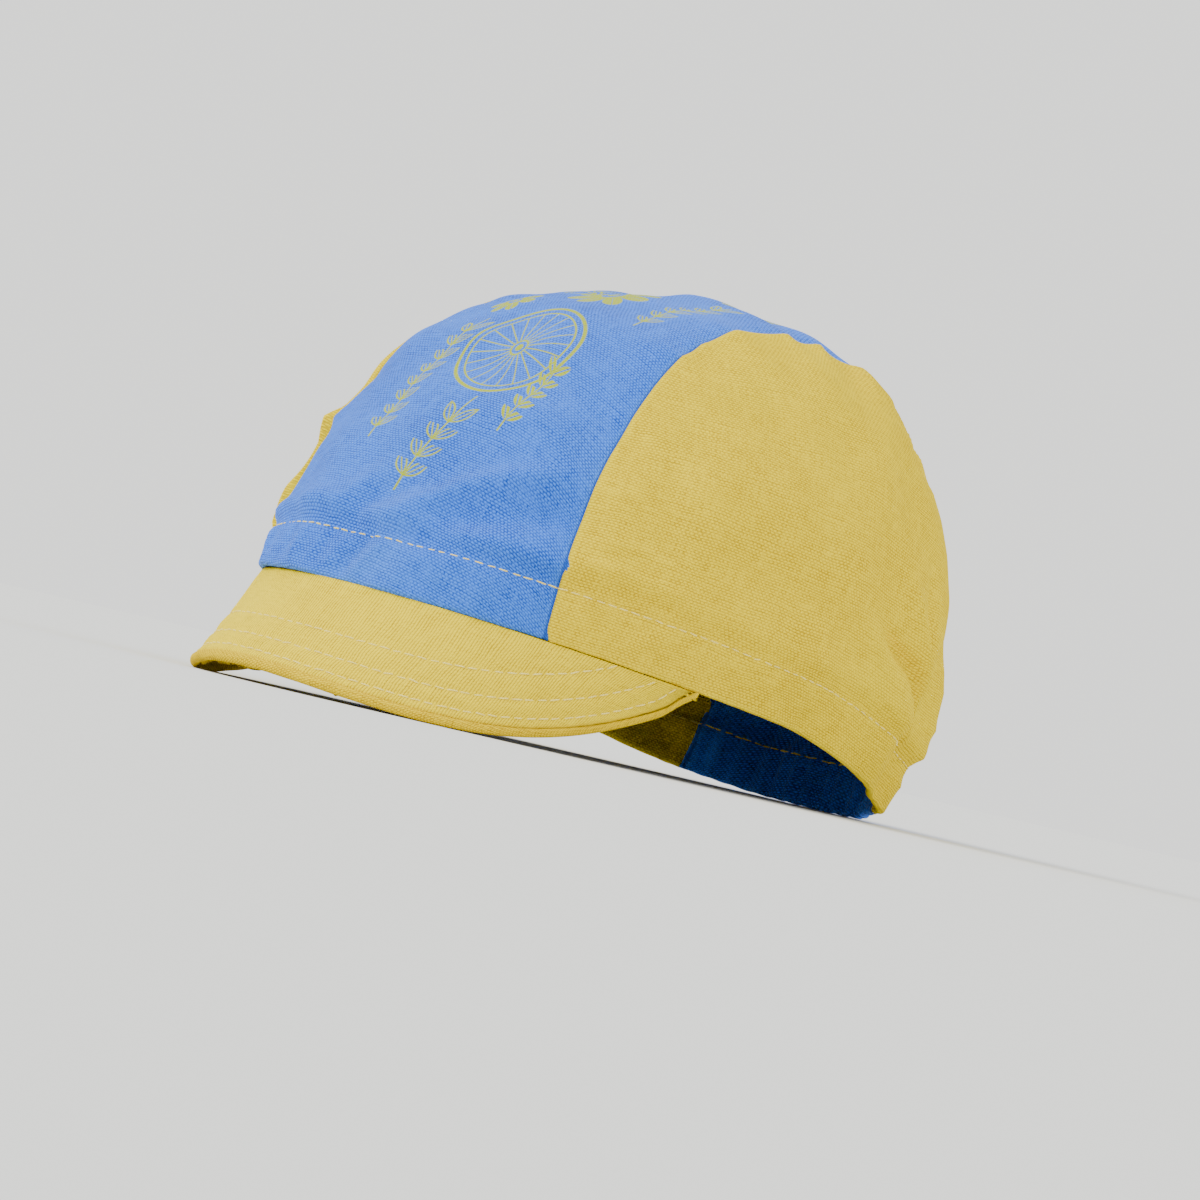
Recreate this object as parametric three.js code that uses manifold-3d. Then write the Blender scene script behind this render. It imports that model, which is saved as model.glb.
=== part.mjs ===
// Cycling cap: a crown of three cloth panels over a turned hem, and a short curved peak of
// two cloth layers. Millimetres, +Z up, +Y towards the back, +X towards the wearer's left.
// The cap is modelled over its hem, and then stood on the lower edge of its peak and the back
// of its hem, as it rests on a table.
import * as THREE from 'three';
import { mergeVertices } from 'three/addons/utils/BufferGeometryUtils.js';
import Module from 'manifold-3d';

const wasm = await Module();
wasm.setup();

// Crown
const frontReach = 98;
const backReach = 101.5;
const halfWidth = 76;
const crownHeight = 106.7;
const topShift = 3;
const backHemDip = 10;

// Cloth
const clothThickness = 1.3;
const hemThickness = 2.4;
const hemHeight = 14.5;
const pieceGap = 0.3;

// Seams between the centre panel and the side panels
const seamHalfWidth = 47;

// Folds in the crown
const hemBulge = 1;
const foldDepth = 2.6;

// Peak
const peakDepth = 36;
const peakCornerDepth = 3;
const peakHalfTurn = 76;
const peakDroop = 66;
const peakSideDroop = 32;
const peakFan = 0.8;
const peakEdgePower = 2.9;
const peakLift = 5.4;
const peakSideCurl = 6.2;
const peakInset = 0.4;

// How much of the soft lower edges is pressed flat where the cap stands
const restFlat = 0.5;

// Steps of the meshes
const turnSteps = 96;
const sectionSteps = 2;
const peakSteps = 36;
const peakDepthSteps = 5;
const seamSteps = 28;
const halvings = 40;

// Sections of the crown: height is a share of crownHeight; front, side and back are shares of
// frontReach, halfWidth and backReach; square is the power of the plan's round outline.
const SECTIONS = [
  { height: 0.0, front: 1.0, side: 1.0, back: 1.0, square: 2.0 },
  { height: 0.122, front: 0.975, side: 1.045, back: 0.998, square: 2.02 },
  { height: 0.259, front: 0.931, side: 1.08, back: 0.974, square: 2.07 },
  { height: 0.423, front: 0.863, side: 1.092, back: 0.91, square: 2.13 },
  { height: 0.588, front: 0.773, side: 1.059, back: 0.798, square: 2.19 },
  { height: 0.731, front: 0.665, side: 0.973, back: 0.651, square: 2.25 },
  { height: 0.848, front: 0.529, side: 0.839, back: 0.484, square: 2.3 },
  { height: 0.927, front: 0.376, side: 0.67, back: 0.327, square: 2.32 },
  { height: 0.974, front: 0.219, side: 0.46, back: 0.188, square: 2.33 },
  { height: 1.0, front: 0.0, side: 0.0, back: 0.0, square: 2.33 },
];

// Plan of the seams: along is a share of the reach, from the front (-1) to the back (1), and
// half is a share of seamHalfWidth.
const SEAM = [
  { along: -1.25, half: 1.95 },
  { along: -1.0, half: 1.575 },
  { along: -0.71, half: 1.26 },
  { along: -0.58, half: 1.16 },
  { along: -0.45, half: 1.09 },
  { along: -0.28, half: 1.04 },
  { along: 0.0, half: 1.01 },
  { along: 0.25, half: 1.0 },
  { along: 0.5, half: 0.965 },
  { along: 0.75, half: 0.91 },
  { along: 1.0, half: 0.843 },
  { along: 1.25, half: 0.78 },
];

// Folds, the same on both sides: turn and width are degrees round the cap from the front,
// lean is the turn gained from the hem to the top, low and high are shares of crownHeight,
// and push is a share of foldDepth, outwards.
const FOLDS = [
  { turn: 84, lean: 12, width: 9, low: 0.08, high: 0.6, push: 0.28 },
  { turn: 104, lean: 10, width: 7, low: 0.08, high: 0.55, push: -0.35 },
  { turn: 118, lean: 8, width: 6, low: 0.02, high: 0.5, push: 0.6 },
  { turn: 130, lean: 6, width: 4.5, low: 0.0, high: 0.42, push: -0.8 },
  { turn: 141, lean: 5, width: 4.5, low: 0.0, high: 0.48, push: 1.0 },
  { turn: 152, lean: 4, width: 4.5, low: 0.0, high: 0.38, push: -0.9 },
  { turn: 163, lean: 2, width: 4.5, low: 0.0, high: 0.42, push: 0.9 },
  { turn: 173, lean: 0, width: 4, low: 0.0, high: 0.34, push: -0.7 },
];
const foldFade = 0.06;

// The bulge above the hem, in hem heights
const bulgeMiddle = 1.5;
const bulgeSpread = 0.55;

// A value on the smooth curve through a column of SECTIONS, by row number. Past the last row
// a column that ends at zero crosses the axis, and the others turn back.
function section(column, place) {
  const last = SECTIONS.length - 1;
  const row = Math.min(last - 1, Math.floor(place));
  const part = place - row;
  const value = (index) => {
    if (index < 0) return 2 * SECTIONS[0][column] - SECTIONS[-index][column];
    if (index <= last) return SECTIONS[index][column];
    const mirrored = SECTIONS[2 * last - index][column];
    return SECTIONS[last][column] === 0 ? -mirrored : mirrored;
  };
  const [a, b, c, d] = [value(row - 1), value(row), value(row + 1), value(row + 2)];
  const bend = (2 * a - 5 * b + 4 * c - d) * part ** 2;
  const twist = (3 * b - a - 3 * c + d) * part ** 3;
  return 0.5 * (2 * b + (c - a) * part + bend + twist);
}

function signedPower(value, power) {
  return Math.sign(value) * Math.abs(value) ** power;
}

function hump(value, middle, width) {
  return Math.exp(-(((value - middle) / width) ** 2));
}

// How far the hem's edge hangs below its front, for a turn in radians from the front
function hemDip(turn) {
  return backHemDip * THREE.MathUtils.smoothstep(-Math.cos(turn), 0, 1);
}

// Outward push of the folds and of the bulge above the hem
function foldPush(turn, height) {
  const degrees = Math.abs(THREE.MathUtils.radToDeg(turn));
  const fromFront = Math.min(degrees, 360 - degrees);
  let push = hemBulge * hump((height * crownHeight) / hemHeight, bulgeMiddle, bulgeSpread);
  for (const fold of FOLDS) {
    const rises = THREE.MathUtils.smoothstep(height, fold.low - foldFade, fold.low + foldFade);
    const fades = 1 - THREE.MathUtils.smoothstep(height, fold.high / 2, fold.high);
    const round = hump(fromFront, fold.turn + fold.lean * height, fold.width);
    push += foldDepth * fold.push * rises * fades * round;
  }
  return push;
}

// A point of the crown's outer face without its folds: turn is radians round the cap from the
// front over the wearer's left, and place is a row number of SECTIONS.
function smoothPoint(turn, place) {
  const across = Math.sin(turn);
  const forward = Math.cos(turn);
  const power = 2 / section('square', place);
  const reach = forward > 0 ? frontReach : backReach;
  const middleReach = reach * section(forward > 0 ? 'front' : 'back', place);
  const height = section('height', place);
  return new THREE.Vector3(
    halfWidth * section('side', place) * signedPower(across, power),
    topShift * height - middleReach * signedPower(forward, power),
    crownHeight * height - hemDip(turn) * (1 - height) ** 2,
  );
}

// A point of the crown with its folds, depth below the outer face
function crownPoint(turn, place, depth) {
  const step = 0.02;
  const top = SECTIONS.length - 1;
  const normal = new THREE.Vector3(0, 0, 1);
  if (place < top - step) {
    const low = Math.max(0, place - step);
    const along = smoothPoint(turn, place + step).sub(smoothPoint(turn, low));
    const round = smoothPoint(turn + step, place).sub(smoothPoint(turn - step, place));
    normal.crossVectors(round, along).normalize();
  }
  const push = foldPush(turn, section('height', place));
  return smoothPoint(turn, place).addScaledVector(normal, push - depth);
}

// The place of a height above the hem, found by halving
function placeAtHeight(height) {
  let low = 0;
  let high = SECTIONS.length - 1;
  for (let count = 0; count < halvings; count += 1) {
    const middle = (low + high) / 2;
    if (section('height', middle) * crownHeight < height) low = middle;
    else high = middle;
  }
  return low;
}

// A closed solid from a list of points and a list of triangles
function makeSolid(points, triangles) {
  const vertProperties = new Float32Array(points.flatMap((point) => point.toArray()));
  const triVerts = new Uint32Array(triangles.flat());
  return new wasm.Manifold(new wasm.Mesh({ numProp: 3, vertProperties, triVerts }));
}

// A three.js geometry as a solid
function solidOf(geometry) {
  geometry.deleteAttribute('normal');
  geometry.deleteAttribute('uv');
  const merged = mergeVertices(geometry);
  const vertProperties = new Float32Array(merged.attributes.position.array);
  const triVerts = new Uint32Array(merged.index.array);
  return new wasm.Manifold(new wasm.Mesh({ numProp: 3, vertProperties, triVerts }));
}

// The whole crown as one shell with an open mouth: rings of outer points and of inner points
// from the hem's edge to the top, where each face ends in one point.
function crownShell() {
  const hemTop = placeAtHeight(hemHeight);
  const clothStart = placeAtHeight(hemHeight + clothThickness);
  const top = SECTIONS.length - 1;
  const rows = [0, hemTop / 2, hemTop].map((place) => ({ place, depth: hemThickness }));
  const rowCount = Math.round((top - clothStart) * sectionSteps);
  for (let count = 0; count < rowCount; count += 1) {
    const place = clothStart + ((top - clothStart) * count) / rowCount;
    rows.push({ place, depth: clothThickness });
  }
  const points = [];
  for (const inner of [0, 1]) {
    for (const row of rows) {
      for (let step = 0; step < turnSteps; step += 1) {
        const turn = (step / turnSteps) * 2 * Math.PI;
        points.push(crownPoint(turn, row.place, inner * row.depth));
      }
    }
  }
  const outerTop = points.push(crownPoint(0, top, 0)) - 1;
  const innerTop = points.push(crownPoint(0, top, clothThickness)) - 1;
  const at = (inner, row, step) => (inner * rows.length + row) * turnSteps + (step % turnSteps);
  const triangles = [];
  for (let step = 0; step < turnSteps; step += 1) {
    for (let row = 0; row < rows.length - 1; row += 1) {
      const [a, b] = [at(0, row, step), at(0, row, step + 1)];
      const [c, d] = [at(0, row + 1, step + 1), at(0, row + 1, step)];
      triangles.push([a, b, c], [a, c, d]);
      const [e, f] = [at(1, row, step), at(1, row, step + 1)];
      const [g, h] = [at(1, row + 1, step + 1), at(1, row + 1, step)];
      triangles.push([e, g, f], [e, h, g]);
    }
    const last = rows.length - 1;
    triangles.push([at(0, last, step), at(0, last, step + 1), outerTop]);
    triangles.push([at(1, last, step), innerTop, at(1, last, step + 1)]);
    triangles.push([at(0, 0, step), at(1, 0, step + 1), at(0, 0, step + 1)]);
    triangles.push([at(0, 0, step), at(1, 0, step), at(1, 0, step + 1)]);
  }
  return makeSolid(points, triangles);
}

// An upright block between the two seams, grown sideways by a margin
function seamBlock(margin) {
  const reachAt = (along) => along * (along < 0 ? frontReach : backReach);
  const row = ({ along, half }) => new THREE.Vector2(half * seamHalfWidth + margin, reachAt(along));
  const line = new THREE.SplineCurve(SEAM.map(row)).getPoints(seamSteps);
  const mirrored = line.map((point) => new THREE.Vector2(-point.x, point.y)).reverse();
  const depth = 2 * crownHeight;
  const geometry = new THREE.ExtrudeGeometry(new THREE.Shape([...line, ...mirrored]), {
    depth,
    bevelEnabled: false,
  });
  geometry.translate(0, 0, -depth / 4);
  return solidOf(geometry);
}

// A block over one half of the cap: side is 1 for the wearer's left and -1 for the right
function sideBlock(side) {
  const size = 4 * crownHeight;
  const geometry = new THREE.BoxGeometry(size, size, size);
  geometry.translate((side * size) / 2, 0, 0);
  return solidOf(geometry);
}

// Depth of the peak from the hem to its edge: share runs from -1 to 1 across the cap
function peakReach(share) {
  return peakCornerDepth + (peakDepth - peakCornerDepth) * (1 - Math.abs(share) ** peakEdgePower);
}

// A point of the peak's upper face without its thickness: part is the share of the depth
function peakFace(share, part) {
  const turn = THREE.MathUtils.degToRad(share * peakHalfTurn);
  const heading = peakFan * turn;
  const sideness = Math.sin(turn) ** 2;
  const droop = THREE.MathUtils.degToRad(peakDroop + peakSideDroop * sideness);
  const distance = part * peakReach(share);
  const curl = (peakSideCurl * sideness - peakLift) * (distance / peakDepth) ** 2;
  const start = smoothPoint(turn, 0);
  const outwards = peakInset - distance * Math.cos(droop);
  return new THREE.Vector3(
    start.x - Math.sin(heading) * outwards,
    start.y + Math.cos(heading) * outwards,
    start.z - pieceGap - distance * Math.sin(droop) - curl,
  );
}

function peakPoint(share, part, depth) {
  const step = 0.01;
  const across = peakFace(share + step, part).sub(peakFace(share - step, part));
  const outwards = peakFace(share, part + step).sub(peakFace(share, part - step));
  const normal = outwards.cross(across).normalize();
  return peakFace(share, part).addScaledVector(normal, -depth);
}

// One cloth layer of the peak, from one depth below its upper face to another
function peakLayer(nearDepth, farDepth) {
  const points = [];
  for (const depth of [nearDepth, farDepth]) {
    for (let step = 0; step <= peakSteps; step += 1) {
      for (let row = 0; row <= peakDepthSteps; row += 1) {
        const share = Math.sin(((2 * step) / peakSteps - 1) * (Math.PI / 2));
        points.push(peakPoint(share, row / peakDepthSteps, depth));
      }
    }
  }
  const columns = peakDepthSteps + 1;
  const at = (inner, step, row) => (inner * (peakSteps + 1) + step) * columns + row;
  const triangles = [];
  for (let step = 0; step < peakSteps; step += 1) {
    for (let row = 0; row < peakDepthSteps; row += 1) {
      const [a, b] = [at(0, step, row), at(0, step, row + 1)];
      const [c, d] = [at(0, step + 1, row + 1), at(0, step + 1, row)];
      triangles.push([a, b, c], [a, c, d]);
      const [e, f] = [at(1, step, row), at(1, step, row + 1)];
      const [g, h] = [at(1, step + 1, row + 1), at(1, step + 1, row)];
      triangles.push([e, g, f], [e, h, g]);
    }
    for (const [row, flip] of [[0, 0], [peakDepthSteps, 1]]) {
      const [a, b] = [at(0, step, row), at(0, step + 1, row)];
      const [c, d] = [at(1, step + 1, row), at(1, step, row)];
      if (flip) triangles.push([a, c, b], [a, d, c]);
      else triangles.push([a, b, c], [a, c, d]);
    }
  }
  for (let row = 0; row < peakDepthSteps; row += 1) {
    for (const [step, flip] of [[0, 1], [peakSteps, 0]]) {
      const [a, b] = [at(0, step, row), at(0, step, row + 1)];
      const [c, d] = [at(1, step, row + 1), at(1, step, row)];
      if (flip) triangles.push([a, c, b], [a, d, c]);
      else triangles.push([a, b, c], [a, c, d]);
    }
  }
  return makeSolid(points, triangles);
}

// The points of a solid, turned about +X by an angle
function turnedPoints(solid, angle) {
  const { vertProperties, numProp } = solid.getMesh();
  const points = [];
  for (let start = 0; start < vertProperties.length; start += numProp) {
    const point = new THREE.Vector3().fromArray(vertProperties, start);
    points.push(point.applyAxisAngle(new THREE.Vector3(1, 0, 0), angle));
  }
  return points;
}

function lowest(solids, angle) {
  const heights = solids.flatMap((solid) => turnedPoints(solid, angle).map((point) => point.z));
  return heights.reduce((least, height) => Math.min(least, height), Infinity);
}

// The tilt at which the peak and the hem stand on one level, found by halving
function standingTilt(peakSolids, crownSolids) {
  let low = -Math.PI / 6;
  let high = Math.PI / 6;
  for (let count = 0; count < halvings; count += 1) {
    const middle = (low + high) / 2;
    if (lowest(peakSolids, middle) > lowest(crownSolids, middle)) low = middle;
    else high = middle;
  }
  return (low + high) / 2;
}

const shell = crownShell();
const sidePanels = shell.subtract(seamBlock(pieceGap / 2));
const layerStep = clothThickness + pieceGap;
const solids = {
  crown_centre_panel: shell.intersect(seamBlock(-pieceGap / 2)),
  crown_left_panel: sidePanels.intersect(sideBlock(1)),
  crown_right_panel: sidePanels.intersect(sideBlock(-1)),
  peak_top: peakLayer(0, clothThickness),
  peak_underside: peakLayer(layerStep, layerStep + clothThickness),
};

const peakNames = ['peak_top', 'peak_underside'];
const peakSolids = peakNames.map((name) => solids[name]);
const tilt = standingTilt(peakSolids, [shell]);

// The standing place: turned by the tilt, centred, and low enough to press the edges flat
const box = new THREE.Box3();
for (const solid of Object.values(solids)) {
  for (const point of turnedPoints(solid, tilt)) box.expandByPoint(point);
}
const middle = box.getCenter(new THREE.Vector3());
const standing = new THREE.Matrix4().makeRotationX(tilt);
standing.setPosition(-middle.x, -middle.y, -box.min.z - restFlat);

// A solid moved to its standing place, with what reaches below the table pressed away
function standingGeometry(solid) {
  const mesh = solid.getMesh();
  const geometry = new THREE.BufferGeometry();
  geometry.setAttribute('position', new THREE.BufferAttribute(mesh.vertProperties, mesh.numProp));
  geometry.setIndex(new THREE.BufferAttribute(mesh.triVerts, 1));
  geometry.applyMatrix4(standing);
  const size = 4 * crownHeight;
  const table = new THREE.BoxGeometry(size, size, size);
  table.translate(0, 0, -size / 2);
  const cut = solidOf(geometry).subtract(solidOf(table)).getMesh();
  const pressed = new THREE.BufferGeometry();
  pressed.setAttribute('position', new THREE.BufferAttribute(cut.vertProperties, cut.numProp));
  pressed.setIndex(new THREE.BufferAttribute(cut.triVerts, 1));
  return pressed;
}

const cotton = { roughness: 0.85, metalness: 0 };
const COLOURS = {
  crown_centre_panel: 0x4a8fdc,
  crown_left_panel: 0xf2d21a,
  crown_right_panel: 0xf2d21a,
  peak_top: 0xf4d937,
  peak_underside: 0xe9cc2c,
};

const cap = new THREE.Group();
for (const [name, solid] of Object.entries(solids)) {
  const material = new THREE.MeshStandardMaterial({ color: COLOURS[name], ...cotton });
  const mesh = new THREE.Mesh(standingGeometry(solid), material);
  mesh.name = name;
  cap.add(mesh);
}

export default cap;
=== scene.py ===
"""A cotton cycling cap: three canvas panels over a turned hem, and a short curved peak.

The shapes are worked out in millimetres over the cap's own hem, with +Z up, +Y towards the
back and +X towards the wearer's left. They are then stood on the peak's edge and the back of
the hem, as the cap rests on a table, in metres.
"""

import logging
import math
from collections.abc import Callable
from dataclasses import dataclass
from enum import Enum
from typing import Any

import bpy
import numpy as np
from mathutils import Matrix, Vector


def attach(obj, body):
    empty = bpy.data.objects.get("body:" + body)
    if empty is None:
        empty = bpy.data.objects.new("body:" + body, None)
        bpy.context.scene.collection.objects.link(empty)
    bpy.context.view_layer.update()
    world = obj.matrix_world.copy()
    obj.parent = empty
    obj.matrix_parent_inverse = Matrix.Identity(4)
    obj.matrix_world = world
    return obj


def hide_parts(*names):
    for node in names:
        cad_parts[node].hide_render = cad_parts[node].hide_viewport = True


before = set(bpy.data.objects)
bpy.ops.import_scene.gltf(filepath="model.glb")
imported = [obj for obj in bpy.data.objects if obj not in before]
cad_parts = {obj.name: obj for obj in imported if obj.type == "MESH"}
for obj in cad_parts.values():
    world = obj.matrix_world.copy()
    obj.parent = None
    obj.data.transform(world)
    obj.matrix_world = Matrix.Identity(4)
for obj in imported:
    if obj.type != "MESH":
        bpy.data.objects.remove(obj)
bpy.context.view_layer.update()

Array = np.ndarray
Colour = tuple[float, float, float]
Scales = tuple[float, float, float]
LOG = logging.getLogger("cycling_cap")

METRES = 0.001
SEED = 11
CHUNK = 4096


class Side(Enum):
    """The wearer's two sides."""

    LEFT = 1
    RIGHT = -1


# Sections of the crown, from the hem to the top: height is a share of the crown's height;
# front, side and back are shares of its reaches; square is the power of its round outline.
SECTIONS = {
    "height": (0.0, 0.122, 0.259, 0.423, 0.588, 0.731, 0.848, 0.927, 0.974, 1.0),
    "front": (1.0, 0.975, 0.931, 0.863, 0.773, 0.665, 0.529, 0.376, 0.219, 0.0),
    "side": (1.0, 1.045, 1.08, 1.092, 1.059, 0.973, 0.839, 0.67, 0.46, 0.0),
    "back": (1.0, 0.998, 0.974, 0.91, 0.798, 0.651, 0.484, 0.327, 0.188, 0.0),
    "square": (2.0, 2.02, 2.07, 2.13, 2.19, 2.25, 2.3, 2.32, 2.33, 2.33),
}

# Plan of the seams: along is a share of the reach, half a share of the seams' half width.
SEAM = {
    "along": (-1.25, -1.0, -0.71, -0.58, -0.45, -0.28, 0.0, 0.25, 0.5, 0.75, 1.0, 1.25),
    "half": (1.95, 1.575, 1.26, 1.16, 1.09, 1.04, 1.01, 1.0, 0.965, 0.91, 0.843, 0.78),
}


def smoothstep(value: Array, low: float, high: float) -> Array:
    """Goes from 0 at low to 1 at high: 3 p squared minus 2 p cubed."""
    part = np.clip((value - low) / (high - low), 0.0, 1.0)
    return part * part * (3.0 - 2.0 * part)


def hump(value: Array, middle: float, width: float) -> Array:
    """A bell round the middle: e to the minus square of the distance in widths."""
    return np.exp(-(((value - middle) / width) ** 2))


def within(value: Array, start: float, rise: float, fall: float, end: float) -> Array:
    """1 between rise and fall, fading to 0 at start and at end."""
    return smoothstep(value, start, rise) * (1 - smoothstep(value, fall, end))


def unit(vectors: Array) -> Array:
    """The same directions with length 1."""
    lengths = np.linalg.norm(vectors, axis=-1, keepdims=True)
    return vectors / np.maximum(lengths, 1e-12)


def through_rows(rows: Array, place: Array) -> Array:
    """The smooth curve through a padded column of numbers.

    It is the cubic through two neighbouring rows whose slope at each is half the difference
    of the rows on its two sides. Place 0 is the column's second number.
    """
    row = np.clip(np.floor(place), 0, len(rows) - 4).astype(int)
    part = place - row
    a, b, c, d = (rows[row + step] for step in range(4))
    bend = (2 * a - 5 * b + 4 * c - d) * part**2
    twist = (3 * b - a - 3 * c + d) * part**3
    return 0.5 * (2 * b + (c - a) * part + bend + twist)


def grid_normals(points: Array) -> Array:
    """Directions square to a grid of points: its first direction crossed with its second."""
    return unit(np.cross(np.gradient(points, axis=0), np.gradient(points, axis=1)))


def lengths_along(points: Array, axis: int) -> Array:
    """The length run along one axis of a grid of points, from its first point."""
    steps = np.linalg.norm(np.diff(points, axis=axis), axis=-1)
    run = np.cumsum(steps, axis=axis)
    start = np.zeros_like(np.take(run, [0], axis=axis))
    return np.concatenate([start, run], axis=axis)


def at_lengths(values: Array, run: Array, at: Array) -> Array:
    """Rows of values along a line, taken straight between its points at other lengths."""
    return np.stack([np.interp(at, run, column) for column in values.T], axis=-1)


def halve_in(low: Array, high: Array, inside: Callable[[Array], Array]) -> Array:
    """Where a test turns from true to false between low and high, by halving 36 times."""
    for _ in range(36):
        middle = (low + high) / 2
        keep = inside(middle)
        low, high = np.where(keep, middle, low), np.where(keep, high, middle)
    return (low + high) / 2


class Line:
    """A line over the cloth, which tells how far and how far along it other points are."""

    def __init__(self, points: Array) -> None:
        """Args: points: the line's points in order, an (N, 3) array."""
        self.points = points
        self.along = lengths_along(points, 0)
        self.heading = unit(np.gradient(points, axis=0))

    def near(self, points: Array) -> tuple[Array, Array]:
        """How far points are from the line, and the length along it where they are nearest.

        The nearest of the line's points is moved along its heading by the gap's share in
        that direction, and the distance is what is left of the gap.

        Args:
            points: any array of points.

        Returns:
            The distances and the lengths, each in the shape of the points.
        """
        flat = points.reshape(-1, 3)
        distance, along = np.empty(len(flat)), np.empty(len(flat))
        for start in range(0, len(flat), CHUNK):
            some = flat[start : start + CHUNK]
            squares = ((some[:, None, :] - self.points[None]) ** 2).sum(-1)
            best = squares.argmin(1)
            gap = some - self.points[best]
            ahead = (gap * self.heading[best]).sum(-1)
            rest = gap - ahead[:, None] * self.heading[best]
            distance[start : start + CHUNK] = np.linalg.norm(rest, axis=-1)
            along[start : start + CHUNK] = self.along[best] + ahead
        shape = points.shape[:-1]
        return distance.reshape(shape), along.reshape(shape)


@dataclass(frozen=True)
class Standing:
    """How the cap rests on the table: turned about +X, then shifted, in radians and mm."""

    tilt: float = -0.1065054
    shift: tuple[float, float, float] = (0.0, 5.9078, 20.2282)

    def place(self, points: Array) -> Array:
        """Points over the hem, moved to where the cap stands, in metres.

        What would reach below the table is pressed flat on it.
        """
        turned = points.copy()
        sine, cosine = math.sin(self.tilt), math.cos(self.tilt)
        turned[..., 1] = points[..., 1] * cosine - points[..., 2] * sine
        turned[..., 2] = points[..., 1] * sine + points[..., 2] * cosine
        turned += self.shift
        turned[..., 2] = np.maximum(turned[..., 2], 0.0)
        return turned * METRES


@dataclass(frozen=True)
class CrownShape:
    """The crown's smooth form: sections that shrink from the hem to the top, in mm."""

    front_reach: float = 98.0
    back_reach: float = 101.5
    half_width: float = 76.0
    height: float = 106.7
    top_shift: float = 3.0
    back_hem_dip: float = 10.0
    seam_half_width: float = 47.0
    top: float = 9.0
    switch: float = 4.0

    def section(self, column: str, place: Array) -> Array:
        """The smooth curve through a column of SECTIONS, by row number.

        Args:
            column: the column's name.
            place: row numbers.

        Returns:
            The column's values there.
        """
        values = np.array(SECTIONS[column])
        beyond = -values[-2] if values[-1] == 0 else values[-2]
        rows = np.concatenate([[2 * values[0] - values[1]], values, [beyond]])
        return through_rows(rows, place)

    def reaches(self, forward: Array, place: Array) -> Array:
        """The reach of a section to the front where forward is positive, or to the back."""
        front = self.front_reach * self.section("front", place)
        back = self.back_reach * self.section("back", place)
        return np.where(forward > 0, front, back)

    def point(self, turn: Array, place: Array) -> Array:
        """Points of the outer face without its folds.

        Across is the side reach times the turn's sine to the power 2 / square, along is the
        front or back reach times its cosine to that power, and the height is the section's,
        less what the hem hangs down, which fades with the square of what is left above.

        Args:
            turn: radians round the cap from the front over the wearer's left.
            place: row numbers of SECTIONS.

        Returns:
            An array of points in mm.
        """
        across, forward = np.sin(turn), np.cos(turn)
        power = 2 / self.section("square", place)
        height = self.section("height", place)
        side = self.half_width * self.section("side", place)
        reach = self.reaches(forward, place)
        dip = self.back_hem_dip * smoothstep(-forward, 0.0, 1.0)
        x = side * np.sign(across) * np.abs(across) ** power
        y = self.top_shift * height - reach * np.sign(forward) * np.abs(forward) ** power
        return np.stack([x, y, self.height * height - dip * (1 - height) ** 2], axis=-1)

    def seam_half(self, y: Array) -> Array:
        """Half the centre panel's plan width at a place from front to back."""
        columns = [np.pad(np.array(SEAM[name]), 1, mode="edge") for name in ("along", "half")]
        place = np.linspace(0, len(SEAM["along"]) - 1, 600)
        along, half = (through_rows(column, place) for column in columns)
        reach = np.where(y < 0, self.front_reach, self.back_reach)
        return self.seam_half_width * np.interp(y / reach, along, half)

    def place_at(self, height: Array) -> Array:
        """The row number at which a share of the height is reached."""
        places = np.linspace(0, self.top, 2000)
        return np.interp(height, self.section("height", places), places)

    def lengthwise(self, shares: Array, samples: int = 120) -> tuple[Array, Array, Array]:
        """Lines from the front hem over the top to the back hem.

        A line keeps one share of the centre panel's half width. Below the row self.switch
        the turn is halved in on for each row, and above it the row for each place from front
        to back: the section there has the point on its outline, where the across share to
        the power of square and the along share to that power add up to 1.

        Args:
            shares: one share for each line, from -1 to 1 and a little past.
            samples: how many points each of the two lower stretches has.

        Returns:
            The points, their turns and their places, in arrays of lines by points.
        """
        width = np.abs(shares)[:, None]
        place = np.broadcast_to(np.linspace(0, self.switch, samples), (len(shares), samples))
        quarter = np.full(place.shape, math.pi / 2)

        def in_panel(turn: Array) -> Array:
            """Whether points at these turns are over the centre panel."""
            spot = self.point(turn, place)
            return spot[..., 0] < width * self.seam_half(spot[..., 1])

        front_turn = halve_in(0 * quarter, quarter, in_panel)
        back_turn = math.pi - halve_in(0 * quarter, quarter, lambda t: in_panel(math.pi - t))
        start = self.point(front_turn, place)[:, -1, 1]
        end = self.point(back_turn, place)[:, -1, 1]
        share = np.linspace(0, 1, 2 * samples)[1:-1]
        y = start[:, None] + (end - start)[:, None] * share
        x = width * self.seam_half(y)
        low, high = np.full(y.shape, self.switch - 0.2), np.full(y.shape, self.top)
        top_place = halve_in(low, high, lambda row: self._outline(x, y, row)[2] < 1)
        across, along, _ = self._outline(x, y, top_place)
        forward = self.top_shift * self.section("height", top_place) - y
        top_turn = np.arctan2(np.sqrt(across), np.sign(forward) * np.sqrt(along))
        turn = np.concatenate([front_turn, top_turn, back_turn[:, ::-1]], axis=1)
        places = np.concatenate([place, top_place, place[:, ::-1]], axis=1)
        turn = turn * np.where(shares < 0, -1.0, 1.0)[:, None]
        return self.point(turn, places), turn, places

    def _outline(self, x: Array, y: Array, place: Array) -> tuple[Array, Array, Array]:
        """The across and along shares of points, each to the power of square, and the sum."""
        power = self.section("square", place)
        forward = self.top_shift * self.section("height", place) - y
        side = np.maximum(self.half_width * self.section("side", place), 1e-9)
        reach = np.maximum(self.reaches(forward, place), 1e-9)
        across = (np.abs(x) / side) ** power
        along = (np.abs(forward) / reach) ** power
        return across, along, across + along

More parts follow.
